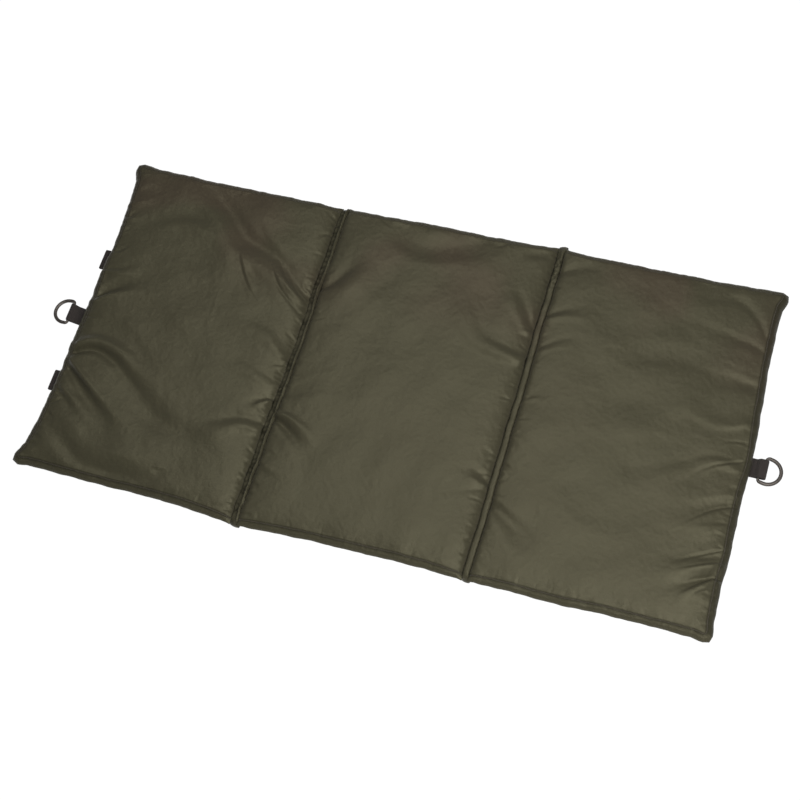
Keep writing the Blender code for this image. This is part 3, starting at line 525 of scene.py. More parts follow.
class Panel:
    """Outline and heights of one padded panel. sewn_end is -1 or 1, or 0 for the middle panel."""

    def __init__(self, name, low_x, high_x, sewn_end, hollows):
        self.name = name
        self.low_x = low_x
        self.high_x = high_x
        self.length = high_x - low_x
        self.sewn_end = sewn_end
        self.hollows = hollows
        rows = list(CREASES[name])
        if name in PACKET_LINES:
            width, height, points = PACKET_LINES[name]
            rows.append(("free", width, (0, height, 0), points))
        self.creases = [Crease(start, width / 1000, np.array(heights) / 1000, np.array(points) / 1000)
                        for start, width, heights, points in rows]
        self.puckers = self.channel_puckers() + self.edge_puckers()

    def low_edge(self, y):
        draw = LEFT_DRAW * drawn_in((y / HALF_WIDTH + 1) / 2)
        return self.low_x + (draw if self.sewn_end < 0 else 0 * draw)

    def high_edge(self, y):
        draw = RIGHT_DRAW * drawn_in((y / HALF_WIDTH + 1) / 2)
        pull = 1 - np.exp(-((y - RING_Y) / RING_PULL_REACH) ** 2)
        return self.high_x - (draw * pull if self.sewn_end > 0 else 0 * draw)

    def side_edge(self, x):
        return HALF_WIDTH - LONG_DRAW * drawn_in(np.clip((x - self.low_x) / self.length, 0, 1))

    def plan(self, u, v, inset=0.0, channel_inset=0.0):
        """Plan position of shares along and across the panel, and distances to the nearest sewn
        edge and the nearest stitched row."""
        x = self.low_x + self.length * u
        for _ in range(3):
            reach = self.side_edge(x) - inset
            y = reach * (2 * v - 1)
            low = self.low_edge(y) + (inset if self.sewn_end < 0 else channel_inset)
            high = self.high_edge(y) - (inset if self.sewn_end > 0 else channel_inset)
            x = low + (high - low) * u
        side_gap = reach - np.abs(y)
        distance = side_gap + inset
        if self.sewn_end:
            end_gap = x - low if self.sewn_end < 0 else high - x
            distance = np.minimum(side_gap, end_gap) + inset
            x, y = self.rounded(x, y, end_gap, side_gap, inset)
        gap = self.channel_distance(x)
        for row_x, _ in self.channel_rows():
            x = x + fold_sway(row_x, y) * np.exp(-np.abs(x - row_x) / SWAY_REACH)
        return *OUTLINE.shifted(x, y), distance, gap

    def rounded(self, x, y, end_gap, side_gap, inset):
        """Plan position with the square corners of a sewn end turned into arcs."""
        radius = SEAM_CORNER_RADIUS - inset
        arm_end, arm_side = radius - end_gap, radius - side_gap
        turned = np.minimum(arm_end, arm_side) > 0
        arm = np.maximum(np.hypot(arm_end, arm_side), 1e-9)
        scale = np.where(turned, np.maximum(arm_end, arm_side) / arm, 1)
        end_gap, side_gap = radius - arm_end * scale, radius - arm_side * scale
        y_round = np.sign(y) * (self.side_edge(x) - inset - side_gap)
        if self.sewn_end < 0:
            x_round = self.low_edge(y_round) + inset + end_gap
        else:
            x_round = self.high_edge(y_round) - inset - end_gap
        return np.where(turned, x_round, x), np.where(turned, y_round, y)

    def channel_distance(self, x):
        low = x - self.low_x if self.sewn_end >= 0 else np.full(np.shape(x), np.inf)
        high = self.high_x - x if self.sewn_end <= 0 else np.full(np.shape(x), np.inf)
        return np.maximum(0, np.minimum(low, high))

    def channel_rows(self):
        """Each stitched row of the panel: its x, and the way from it into the panel."""
        found = [(self.low_x, 1)] if self.sewn_end >= 0 else []
        return found + ([(self.high_x, -1)] if self.sewn_end <= 0 else [])

    def plain_top(self, gap, distance, x):
        channel = np.exp(-gap / CHANNEL_REACH)
        drop = (TOP_HEIGHT - CHANNEL_HEIGHT) * channel + ROW_DIP * np.exp(-(gap / ROW_DIP_REACH) ** 2)
        steep = STEEP_DROP * np.exp(-gap / STEEP_REACH) + GENTLE_DROP * np.exp(-gap / GENTLE_REACH)
        drop = np.where(self.far_row(x), steep, drop)
        edge = np.exp(-distance / EDGE_REACH)
        return TOP_HEIGHT - drop - CROWN_HEIGHT * edge * (1 - channel)

    def far_row(self, x):
        """Whether the nearest stitched row is one on a channel's +X side."""
        return (self.sewn_end >= 0) & (x - self.low_x < self.length / 2)

    def skin_height(self, x, y, distance, gap):
        """Height of the cover's outer face with all its relief."""
        held = 0.5 + 0.5 * smooth_step(distance / HELD_REACH)
        z = self.plain_top(gap, distance, x) + held * self.wrinkles(x, y)
        z += SEAM_RIPPLE * SEAM_WAVE_UP(x, y) * np.exp(-distance / SEAM_RIPPLE_REACH)
        z += FAR_RISE * np.exp(-distance / EDGE_REACH) * smooth_step(y / 0.1) * (1 - np.exp(-gap / 0.01))
        z -= self.row_pits(x, y) * np.where(self.far_row(x), FAR_PIT_SHARE, 1.0)
        return np.maximum(z, self.base(x, y, gap) + BASE_THICKNESS + LEAST_LOFT)

    def row_pits(self, x, y):
        """Depth of the small pits where the cover is gathered into its stitched rows."""
        total = np.zeros(x.shape)
        for row_x, way in self.channel_rows():
            pits = Gathers(hash_of(self.name, 71 + way), -HALF_WIDTH, HALF_WIDTH, PIT_SPACING, PIT_WIDTH)
            near = np.exp(-(np.abs(x - row_x) / PIT_REACH) ** 2)
            total += PIT_DEPTHS[self.name] * pits(y, np.abs(x - row_x)) * near
        return total

    def base(self, x, y, gap):
        share = np.maximum(0, 1 - gap / CHANNEL_LIFT_REACH)
        height = CHANNEL_LIFT * share * share
        for hollow in self.hollows:
            height = np.maximum(height, hollow.depth_at(x, y))
        return height

    def channel_puckers(self):
        """Small creases that fan out from the stitched rows."""
        dice = np.random.default_rng(hash_of(self.name, 11))
        found = []
        for row_x, way in self.channel_rows():
            def line(x, y, length, slant):
                return ((x + way * length * 0.5, y + length * 0.35 * math.sin(slant)),
                        (x + way * length * math.cos(slant), y + length * math.sin(slant)))

            y = -HALF_WIDTH + 0.004
            while y < HALF_WIDTH - 0.006:
                found.append(new_pucker(dice, ROW_PUCKERS, (row_x, y), line))
                y += 0.008 + 0.020 * dice.random()
        return found

    def edge_puckers(self):
        """Small creases that run in from the sewn edges."""
        dice = np.random.default_rng(hash_of(self.name, 12))
        found = []

        def line(x, y, length, slant):
            turn_x = way_x * math.cos(slant) - way_y * math.sin(slant)
            turn_y = way_x * math.sin(slant) + way_y * math.cos(slant)
            return ((x + 0.5 * length * (way_x + turn_x) / 2, y + 0.5 * length * (way_y + turn_y) / 2),
                    (x + length * turn_x, y + length * turn_y))

        for side in (-1, 1):
            way_x, way_y = 0, -side
            x = self.low_x + 0.006
            while x < self.high_x - 0.006:
                start = (x, side * float(self.side_edge(x)))
                found.append(new_pucker(dice, SIDE_PUCKERS, start, line))
                x += 0.012 + 0.020 * dice.random()
        if self.sewn_end:
            way_x, way_y = -self.sewn_end, 0
            edge = self.low_edge if self.sewn_end < 0 else self.high_edge
            y = -HALF_WIDTH + 0.010
            while y < HALF_WIDTH - 0.008:
                found.append(new_pucker(dice, END_PUCKERS, (float(edge(y)), y), line))
                y += 0.008 + 0.010 * dice.random()
        return found

    def wrinkles(self, x, y):
        """Height that creases and slow waves add to the cover."""
        sizes = settings()
        total = np.zeros(x.shape)
        for pucker in self.puckers:
            total += PUCKER_SHARES[self.name] * pucker.height(x, y)
        for crease in self.creases:
            total += crease.height(x, y)
        total *= sizes.crease_scale
        slow = Ripple(hash_of(self.name, 21), *SLOW_WAVES)(x, y)
        quick = Ripple(hash_of(self.name, 22), *QUICK_WAVES)(x, y)
        return total + sizes.undulation * slow + QUICK_SHARE * sizes.undulation * quick


def hash_of(name, salt):
    """A fixed number for a piece's random draws."""
    return sum((i + 1) * ord(letter) for i, letter in enumerate(name)) + 1000 * salt


SEAM_WAVE_OUT = Ripple(31, 0.014, 0.070)
SEAM_WAVE_UP = Ripple(32, 0.016, 0.060)
OUTLINE = Outline()


def panels():
    straps = [Hollow(side + "_closure_strap", STRAP_HOLLOW) for side in STRAP_SIDES_Y]
    tapes = [Hollow(side + "_loop_tape", TAPE_HOLLOW) for side in STRAP_SIDES_Y]
    return (
        Panel("left", -HALF_LENGTH, LEFT_FOLD_X + ROW_PLACES["left"][0], -1, straps),
        Panel("middle", LEFT_FOLD_X + ROW_PLACES["left"][1], RIGHT_FOLD_X + ROW_PLACES["right"][0], 0, tapes),
        Panel("right", RIGHT_FOLD_X + ROW_PLACES["right"][1], HALF_LENGTH, 1, ()),
    )


def new_object(name, verts, faces, finish, smooth=True):
    """A mesh object in the scene with one finish."""
    mesh = bpy.data.meshes.new(name)
    mesh.from_pydata(np.asarray(verts).tolist(), [], faces)
    mesh.materials.append(finish)
    if smooth:
        mesh.shade_smooth()
    obj = bpy.data.objects.new(name, mesh)
    bpy.context.scene.collection.objects.link(obj)
    return obj


def keep_painted_shade(obj, tones):
    """Keep on the mesh how much painted shade each vertex gets."""
    layer = obj.data.attributes.new("near_seam", "FLOAT", "POINT")
    layer.data.foreach_set("value", tones.astype(np.float32))


def face_the_right_way(obj):
    bm = bmesh.new()
    bm.from_mesh(obj.data)
    bmesh.ops.recalc_face_normals(bm, faces=bm.faces[:])
    bm.to_mesh(obj.data)
    bm.free()


def grid_faces(index):
    """Four-sided faces between the neighbours of a table of vertex numbers."""
    corners = (index[:-1, :-1], index[:-1, 1:], index[1:, 1:], index[1:, :-1])
    return np.stack(corners, -1).reshape(-1, 4)


def loft(name, sections, finish, closed_along=False, smooth=True):
    """A tube through closed sections, with its ends capped unless it closes on itself."""
    sections = np.asarray(sections)
    count, around = sections.shape[:2]
    index = np.arange(count * around).reshape(count, around)
    index = np.hstack([index, index[:, :1]])
    if closed_along:
        index = np.vstack([index, index[:1]])
    faces = grid_faces(index).tolist()
    if not closed_along:
        faces += [list(range(around))[::-1], list(range((count - 1) * around, count * around))]
    obj = new_object(name, sections.reshape(-1, 3), faces, finish, smooth)
    face_the_right_way(obj)
    return obj


def follow(obj, panel_name):
    """Let the middle panel's soft piece move with its panel; an end panel's piece only gets its place baked
    in.
    """
    if panel_name == "middle":
        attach(obj, "middle_panel")
        return
    fold_x, way = (LEFT_FOLD_X, -1) if panel_name == "left" else (RIGHT_FOLD_X, 1)
    rows = ROW_PLACES[panel_name] if way > 0 else ROW_PLACES[panel_name][::-1]
    start = (fold_x + rows[0], 0, CHANNEL_HEIGHT)
    end = (fold_x + rows[1] + way * BEND_REACH, 0, CHANNEL_HEIGHT)
    if way > 0:
        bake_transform(obj)
    else:
        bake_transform(obj)


class Wire:
    """A socket's value in a node tree. Sums and products of wires add Math nodes."""

    def __init__(self, nodes, socket):
        self.nodes = nodes
        self.socket = socket

    def beside(self, output):
        """Another output of the same node."""
        return Wire(self.nodes, self.socket.node.outputs[output])

    def _math(self, operation, first, second=None):
        sockets = {0: first} if second is None else {0: first, 1: second}
        return self.nodes.node("Math", {"operation": operation}, sockets)

    def __add__(self, other):
        return self._math("ADD", self, other)

    def __radd__(self, other):
        return self._math("ADD", other, self)

    def __sub__(self, other):
        return self._math("SUBTRACT", self, other)

    def __rsub__(self, other):
        return self._math("SUBTRACT", other, self)

    def __mul__(self, other):
        return self._math("MULTIPLY", self, other)

    def __rmul__(self, other):
        return self._math("MULTIPLY", other, self)

    def sin(self):
        return self._math("SINE", self)

    def abs(self):
        return self._math("ABSOLUTE", self)

    def above(self, other):
        return self._math("MAXIMUM", self, other)


class Nodes:
    """A node tree, made step by step."""

    def __init__(self, owner):
        owner.use_nodes = True
        self.tree = owner.node_tree

    def node(self, kind, set_first=None, sockets=None, output=0):
        """A node of a kind, with its settings made first and then its sockets' values or wires."""
        node = self.tree.nodes.new("ShaderNode" + kind)
        for key, value in (set_first or {}).items():
            if key == "stops":
                ramp = node.color_ramp
                while len(ramp.elements) < len(value):
                    ramp.elements.new(1)
                for element, (place, tone) in zip(ramp.elements, value):
                    element.position = place
                    element.color = (*tone, 1) if isinstance(tone, tuple) else (tone, tone, tone, 1)
            else:
                setattr(node, key, value)
        for key, value in (sockets or {}).items():
            self.feed(node.inputs[key], value)
        return Wire(self, node.outputs[output])

    def feed(self, socket, value):
        if isinstance(value, Wire):
            self.tree.links.new(value.socket, socket)
        else:
            socket.default_value = value

    def pale_surroundings(self):
        """1 for the camera's rays, and 1 for the mirrored and let-through ones."""
        camera = self.node("LightPath", output="Is Camera Ray")
        return camera, camera.beside("Is Glossy Ray").above(camera.beside("Is Transmission Ray"))


class Finish(Nodes):
    """A material for one of the mat's surfaces."""

    def __init__(self, name, **constants):
        self.material = bpy.data.materials.new(name)
        super().__init__(self.material)
        self.shader = self.tree.nodes["Principled BSDF"]
        for socket, value in constants.items():
            self.shader.inputs[socket.replace("_", " ")].default_value = value
        self.place = self.node("TexCoord", output="Object")
        self.x = self.node("SeparateXYZ", None, {0: self.place})
        self.y, self.z = self.x.beside("Y"), self.x.beside("Z")

    def noise(self, size, detail=2.0, roughness=0.5, place=None):
        sockets = {"Vector": place or self.place, "Scale": 1 / size, "Detail": detail, "Roughness": roughness}
        return self.node("TexNoise", None, sockets)

    def stretched(self, factors):
        """The place on the piece, scaled along each axis."""
        return self.node("VectorMath", {"operation": "MULTIPLY"}, {0: self.place, 1: factors})

    def wave(self, value, pitch):
        """A sine with one turn per pitch."""
        return (value * (2 * math.pi / pitch)).sin()

    def attribute(self, name):
        return self.node("Attribute", {"attribute_name": name}, output="Fac")

    def between(self, value, low, high, low_out=0.0, high_out=1.0):
        sockets = {"Value": value, "From Min": low, "From Max": high, "To Min": low_out, "To Max": high_out}
        return self.node("MapRange", {"interpolation_type": "SMOOTHSTEP"}, sockets)

    def mixed(self, share, first, second):
        """A colour between two."""
        sockets = {0: share, 6: colour4(first), 7: colour4(second)}
        return self.node("Mix", {"data_type": "RGBA"}, sockets, output=2)

    def tinted(self, colour, factor):
        """A colour, lighter or darker by a factor that changes over the surface."""
        grey = self.node("CombineColor", None, {0: factor, 1: factor, 2: factor})
        sockets = {0: 1.0, 6: colour4(colour), 7: grey}
        return self.node("Mix", {"data_type": "RGBA", "blend_type": "MULTIPLY"}, sockets, output=2)

    def finish(self, colour, roughness, bumps=()):
        """Link the colour, the roughness and heights in metres to the shader."""
        self.feed(self.shader.inputs["Base Color"], colour4(colour))
        self.feed(self.shader.inputs["Roughness"], roughness)
        normal = None
        for height, depth in bumps:
            sockets = {"Height": height, "Distance": depth, "Strength": 1.0}
            if normal:
                sockets["Normal"] = normal
            normal = self.node("Bump", None, sockets)
        if normal:
            self.feed(self.shader.inputs["Normal"], normal)
        return self.material


def colour4(colour):
    return colour if isinstance(colour, Wire) else (*tuple(colour)[:3], 1)


THREAD_TWIST = 0.0016
WEBBING_YARNS = (0.0011, 0.0022)
BASE_YARN = 0.0011
DUST = (0.06, 0.055, 0.045)
WORN_STEEL = (0.26, 0.24, 0.22)


def weave(finish, pitch):
    """Height of a plain weave, from 0 to 1, that also runs over upright faces."""
    turn = 2 * math.pi / pitch
    across = (finish.x + finish.z * 0.8) * turn
    along = (finish.y + finish.z) * turn
    over = (across * 0.5).sin() * (along * 0.5).sin()
    return over.abs() * 0.7 + (across.sin() * along.sin()) * 0.15 + 0.15


def cover_finish():
    finish = Finish("olive_nylon", Metallic=0.0, Sheen_Weight=0.04, Sheen_Roughness=0.5,
                    Specular_IOR_Level=0.37, Specular_Tint=(1.0, 0.94, 0.64, 1.0))
    tone = colours().cover
    # The painted shade kept on the mesh.
    seam = finish.attribute("near_seam")
    slow = finish.noise(0.09, 2.0)
    quick = finish.noise(0.004, 3.0)
    factor = 0.93 + slow * 0.14 + (quick - 0.5) * 0.06
    # Painted shade: it darkens the cover's colour down to 0.38 of it.
    shade_factor = finish.between(seam, 0.45, 1.0, 1.0, 0.38)
    colour = finish.tinted(tone, factor * shade_factor)
    # Brown-tinted patches, more of them towards the far side.
    patches = finish.between(finish.noise(0.15, 1.0), 0.45, 0.65)
    patches = patches * finish.between(finish.y, 0.06, 0.18, 0.05, 0.8)
    brown_tint = finish.tinted((tone[0] * 1.08, tone[1] * 0.91, tone[2]), factor * shade_factor)
    brown = finish.mixed(patches, colour, brown_tint)
    roughness = 0.38 + (quick - 0.5) * 0.1 + seam * 0.12
    crinkle = finish.noise(0.006, 4.0, 0.6)
    return finish.finish(brown, roughness, ((finish.noise(0.024, 2.0), 0.0012), (crinkle, 0.0005),
                                             (weave(finish, settings().weave_pitch), 0.00005)))


def seam_finish():
    finish = Finish("seam_tape", Metallic=0.0, Sheen_Weight=0.1, Specular_IOR_Level=0.4)
    tone = colours().seam
    twist = finish.wave(finish.x + finish.y + finish.z, THREAD_TWIST)
    factor = 0.85 + finish.noise(0.01, 3.0) * 0.3 + twist * 0.06
    return finish.finish(finish.tinted(tone, factor), 0.6 + twist * 0.05, ((twist, 0.0001),))


def base_finish():
    finish = Finish("base_fabric", Metallic=0.0, Specular_IOR_Level=0.35)
    factor = 0.85 + finish.noise(0.05, 3.0) * 0.3
    dust = finish.between(finish.noise(0.02, 5.0, 0.65), 0.55, 0.8, 0.0, 0.25)
    colour = finish.mixed(dust, finish.tinted(colours().base, factor), DUST)
    return finish.finish(colour, 0.72 + dust * 0.15, ((weave(finish, BASE_YARN), 0.00012),))


def foam_finish():
    finish = Finish("foam", Metallic=0.0, Specular_IOR_Level=0.3)
    cells = finish.node("TexVoronoi", {"feature": "F1"}, {"Vector": finish.place, "Scale": 700.0})
    factor = 0.88 + cells * 0.15
    return finish.finish(finish.tinted(colours().foam, factor), 0.88 + cells * 0.08, ((cells, 0.0003),))


def webbing_finish():
    finish = Finish("webbing", Metallic=0.0, Sheen_Weight=0.1, Specular_IOR_Level=0.4)
    yarn = finish.wave(finish.x, WEBBING_YARNS[0]) * finish.wave(finish.y, WEBBING_YARNS[1])
    fuzz = finish.noise(0.0012, 3.0)
    factor = 0.85 + fuzz * 0.3 + yarn * 0.12
    bumps = ((yarn, 0.00018), (fuzz, 0.0001))
    return finish.finish(finish.tinted(colours().webbing, factor), 0.72 + yarn * 0.08, bumps)


def steel_finish():
    finish = Finish("gunmetal", Specular_IOR_Level=0.5)
    scratch = finish.noise(0.004, 4.0, 0.6, finish.stretched((1, 1, 4)))
    wear = finish.between(finish.noise(0.006, 5.0, 0.7), 0.6, 0.8)
    colour = finish.mixed(wear * 0.5, finish.tinted(colours().steel, 0.9 + scratch * 0.2), WORN_STEEL)
    finish.feed(finish.shader.inputs["Metallic"], 0.9 - wear * 0.1)
    return finish.finish(colour, 0.42 + scratch * 0.15, ((scratch, 0.00008),))


def tape_finish():
    finish = Finish("touch_tape", Metallic=0.0, Specular_IOR_Level=0.3)
    hooks = finish.node("TexVoronoi", {"feature": "F1"}, {"Vector": finish.place, "Scale": 900.0})
    factor = 0.8 + hooks * 0.6
    return finish.finish(finish.tinted(colours().tape, factor), 0.9 - hooks * 0.1, ((1 - hooks, 0.0005),))


FINISHES = {}


def finish_of(slot):
    """The material of a slot, made when it is first asked for."""
    makers = {"olive_nylon": cover_finish, "seam_tape": seam_finish, "base_fabric": base_finish,
              "foam": foam_finish, "webbing": webbing_finish, "gunmetal": steel_finish,
              "touch_tape": tape_finish}
    if slot not in FINISHES:
        FINISHES[slot] = makers[slot]()
    return FINISHES[slot]


GROOVE = 0.0020
SEAM_SINK = 0.0012
RING_ROOM = 0.25
RING_ROOM_REACH = 0.030
MITRE = {"left": 0.7, "middle": 0.0, "right": 0.5}
BAND_SHARES = (0.93, 0.85, 0.76, 0.66, 0.56, 0.46, 0.36, 0.27, 0.18, 0.10, 0.03)
HEM_REACH = 0.006
LIP_SHARE = 0.80
LIP_EXTRA = 0.0012
LIP_REACH = 0.007
LIP_LEAN = 0.0020
GROOVE_SINKS = (0.0005, 0.0004)
# Painted shade in the seam groove, the stitched rows' pits, along the sewn rim and on the plain end's side
# band; the far edge, which stands in the light, and the rows on a channel's +X side get less of it
GROOVE_SHADES = (0.7, 0.85)
DARK_PIT = 0.0012
FAR_EDGE_Y = 0.22
FAR_EDGE_EASE = 0.02
FAR_EDGE_PALING = 0.75
ROW_SHADE_REACH = 0.0022
FAR_ROW_SHADE = 0.72
RIM_SHADE = 0.75
RIM_SHADE_REACH = 0.0010
GATHER_SPACING = 0.0085
GATHER_WIDTH = 0.0024
GATHER_SLANT_REACH = 0.010
END_BAND_SHADE = 0.8


def rim_runs(index, sewn_end):
    """Vertex numbers of the grid's sewn edges, anticlockwise seen from above."""
    near, far = index[0], index[-1][::-1]
    if sewn_end < 0:
        return [np.concatenate([far, index[:, 0][::-1][1:], near[1:]])]
    if sewn_end > 0:
        return [np.concatenate([near, index[:, -1][1:], far[1:]])]
    return [near, far]


def outward_of(path):
    """The outer side of each point of an anticlockwise path, eased round corners."""
    along = np.gradient(path[:, :2], axis=0)
    for _ in range(2):
        along[1:-1] = (along[:-2] + 2 * along[1:-1] + along[2:]) / 4
    along = unit(along)
    return np.stack([along[:, 1], -along[:, 0]], 1)


def cover_top(panel):
    """Places over a cover's top, their distances to the sewn edge and the rows, and their numbers."""
    grid = settings().cover_grid
    columns, rows = round(panel.length / grid), round(2 * HALF_WIDTH / grid)
    u, v = np.meshgrid(np.linspace(0, 1, columns + 1), np.linspace(0, 1, rows + 1))
    x, y, distance, gap = panel.plan(u, v, GROOVE)
    z = panel.skin_height(x, y, distance, gap)
    return np.stack([x, y, z], -1), distance, gap, np.arange(x.size).reshape(x.shape)


def cover_skin(panel):
    """Vertices, faces and painted shade of a cover: its top, then rings down its sewn sides."""
    top, distance, gap, index = cover_top(panel)
    x, y = top[..., 0], top[..., 1]
    # Painted shade: dark along the stitched rows and darker in their pits, less at the rows on a channel's +X
    # side, and dark along the sewn rim.
    rows = 0.75 + 0.25 * np.minimum(1, panel.row_pits(x, y) / DARK_PIT)
    rows = np.exp(-(gap / ROW_SHADE_REACH) ** 2) * rows * np.where(panel.far_row(x), FAR_ROW_SHADE, 1.0)
    edge = RIM_SHADE * np.exp(-((distance - GROOVE) / RIM_SHADE_REACH) ** 2) * edge_shade_share(x, y)
    near_seam = np.maximum(rows, edge)
    places = [top.reshape(-1, 3)]
    tones = [near_seam.reshape(-1)]
    faces = [grid_faces(index)]
    count = x.size
    for run in rim_runs(index, panel.sewn_end):
        rim = places[0][run]
        rings, ring_shades = side_rings(panel, rim, gap.reshape(-1)[run])
        numbers = count + np.arange(rings.shape[0] * rings.shape[1]).reshape(rings.shape[:2])
        faces.append(grid_faces(np.vstack([run[None], numbers])[:, ::-1]))
        places.append(rings.reshape(-1, 3))
        tones.append(ring_shades.reshape(-1))
        count += numbers.size
    return np.vstack(places), np.vstack(faces).tolist(), np.concatenate(tones)


def seam_line(rim):
    """The sewn line outside the rim of a cover's top: places and outward directions."""
    out = outward_of(rim)
    wave = 0.00025 * SEAM_WAVE_OUT(rim[:, 0], rim[:, 1])
    seam = rim[:, :2] + out * (GROOVE + wave)[:, None]
    return seam, out


def edge_shade_share(x, y):
    """How much of the painted shade along the sewn edge stays: the far edge, which stands in the light, keeps
    less.
    """
    far = smooth_step((y - FAR_EDGE_Y) / FAR_EDGE_EASE)
    return 1 - FAR_EDGE_PALING * far * (np.abs(x) < HALF_LENGTH - FAR_EDGE_EASE)


def side_rings(panel, rim, gap):
    """Rings from the top's rim over the seam groove and down the side to the turned hem, and the painted
    shade of each.
    """
    seam, out = seam_line(rim)
    x, y = rim[:, 0], rim[:, 1]
    base = panel.base(x, y, gap) + BASE_THICKNESS
    high = rim[:, 2] - SEAM_SINK
    full = SEAM_HEIGHT - BASE_THICKNESS
    plain = panel.plain_top(gap, GROOVE, x) - SEAM_SINK
    reach = BULGE * np.clip((plain - base) / full, LIP_SHARE, 1) + LIP_EXTRA * np.exp(-gap / LIP_REACH)
    reach *= 1 + MITRE[panel.name] * (1 / np.max(np.abs(out), axis=1) - 1)
    if panel.sewn_end > 0:
        reach *= 1 - RING_ROOM * np.exp(-((y - RING_Y) / RING_ROOM_REACH) ** 4) * (out[:, 0] > 0.6)
    run = run_along(rim[:, :2])
    rings = [np.column_stack([rim[:, :2] + out * 0.6 * GROOVE, rim[:, 2] - GROOVE_SINKS[0]]),
             np.column_stack([seam, high - GROOVE_SINKS[1]])]
    # Painted shade in the seam groove.
    tones = [tone * edge_shade_share(x, y) for tone in GROOVE_SHADES]
    gathers = Gathers(hash_of(panel.name, 41), 0, run[-1], GATHER_SPACING, GATHER_WIDTH)
    slow = Ripple(hash_of(panel.name, 42), 0.030, 0.090)
    depth = settings().gather_depth
    toward = -np.sign(x - (LEFT_FOLD_X if panel.name == "left" else RIGHT_FOLD_X))
    if panel.name == "middle":
        toward = np.where(x < 0, -1.0, 1.0)
    for share in BAND_SHARES:
        swell = math.sin(math.pi * share) ** 0.7
        shape = swell + 0.10 * (share > 0.5)
        pucker = gathers(run, GATHER_SLANT_REACH * (1 - share))
        pucker = pucker * (0.12 + 1.0 * smooth_step((share - 0.5) / 0.3) * swell)
        place = seam + out * (reach * shape - depth * pucker + 0.0003 * slow(run, 0 * run))[:, None]
        place[:, 0] += toward * LIP_LEAN * shape * np.exp(-gap / LIP_REACH)
        rings.append(np.column_stack([place, base + (high - base) * share]))
        # Painted shade darkens the band's top under the seam and the whole side band of the plain end.
        end_band_shade = END_BAND_SHADE * smooth_step((out[:, 0] - 0.6) / 0.3)
        tones.append(np.maximum(max(0.0, 1 - (1 - share) * 6), end_band_shade))
    rings.append(np.column_stack([seam - out * HEM_REACH, base + 0.0003]))
    tones.append(np.zeros(len(rim)))
    return np.array(rings), np.array(tones)


class MAT_OT_covers(bpy.types.Operator):
    """Sew the padded covers of the three panels"""

    bl_idname = "mat.covers"
    bl_label = "Covers"

    def execute(self, context):
        for panel in panels():
            verts, faces, tones = cover_skin(panel)
            obj = new_object(panel.name + "_cover", verts, faces, finish_of("olive_nylon"))
            keep_painted_shade(obj, tones)
            face_the_right_way(obj)
            walls = ("far", "near") if panel.name == "middle" else ()
            nodes = [panel.name + "_" + wall + "_side_wall" for wall in walls]
            nodes = nodes or [panel.name + "_side_wall"]
            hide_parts(panel.name + "_top_cover", *nodes)
            follow(obj, panel.name)
        return {"FINISHED"}


def slab(name, x, y, heights, finish):
    """A flat piece between two faces over one grid, closed round its rim."""
    index = np.arange(x.size).reshape(x.shape)
    rim = np.concatenate([index[0], index[1:, -1], index[-1][::-1][1:], index[:, 0][::-1][1:]])
    faces = grid_faces(index).tolist() + grid_faces(index[:, ::-1] + x.size).tolist()
    faces += grid_faces(np.vstack([rim, rim + x.size])).tolist()
    verts = np.vstack([np.stack([x, y, z], -1).reshape(-1, 3) for z in heights])
    obj = new_object(name, verts, faces, finish)
    face_the_right_way(obj)
    return obj


FOAM_INSET = 0.008
FOAM_ROW_GAPS = {"left": 0.028, "middle": 0.014, "right": 0.028}
FOAM_UNDER_TOP = 0.009
FOAM_UNDER_CREASES = 0.0065
FOAM_OVER_BASE = 0.0022
FOAM_EDGE = 0.003


class MAT_OT_foam_pads(bpy.types.Operator):
    """Cut the foam pads that fill the covers"""

    bl_idname = "mat.foam_pads"
    bl_label = "Foam Pads"

    def execute(self, context):
        for panel in panels():
            u, v = np.meshgrid(np.linspace(0, 1, 25), np.linspace(0, 1, 37))
            x, y, distance, gap = panel.plan(u, v, FOAM_INSET, FOAM_ROW_GAPS[panel.name])
            high = panel.plain_top(gap, distance, x) - FOAM_UNDER_TOP
            high = np.minimum(high, panel.skin_height(x, y, distance, gap) - FOAM_UNDER_CREASES)
            low = panel.base(x, y, gap) + FOAM_OVER_BASE
            edge = np.minimum(np.minimum(u, 1 - u), np.minimum(v, 1 - v)) == 0
            middle = (high + low) / 2
            high, low = np.where(edge, middle + FOAM_EDGE, high), np.where(edge, middle - FOAM_EDGE, low)
            obj = slab(panel.name + "_foam", x, y, (high, low), finish_of("foam"))
            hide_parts(panel.name + "_foam_pad")
            follow(obj, panel.name)
        return {"FINISHED"}


BASE_GRID = 0.005
BASE_INSET = 0.0005
COLUMNS_BY_THE_ROW = (0.0015, 0.003, 0.0075, 0.012)


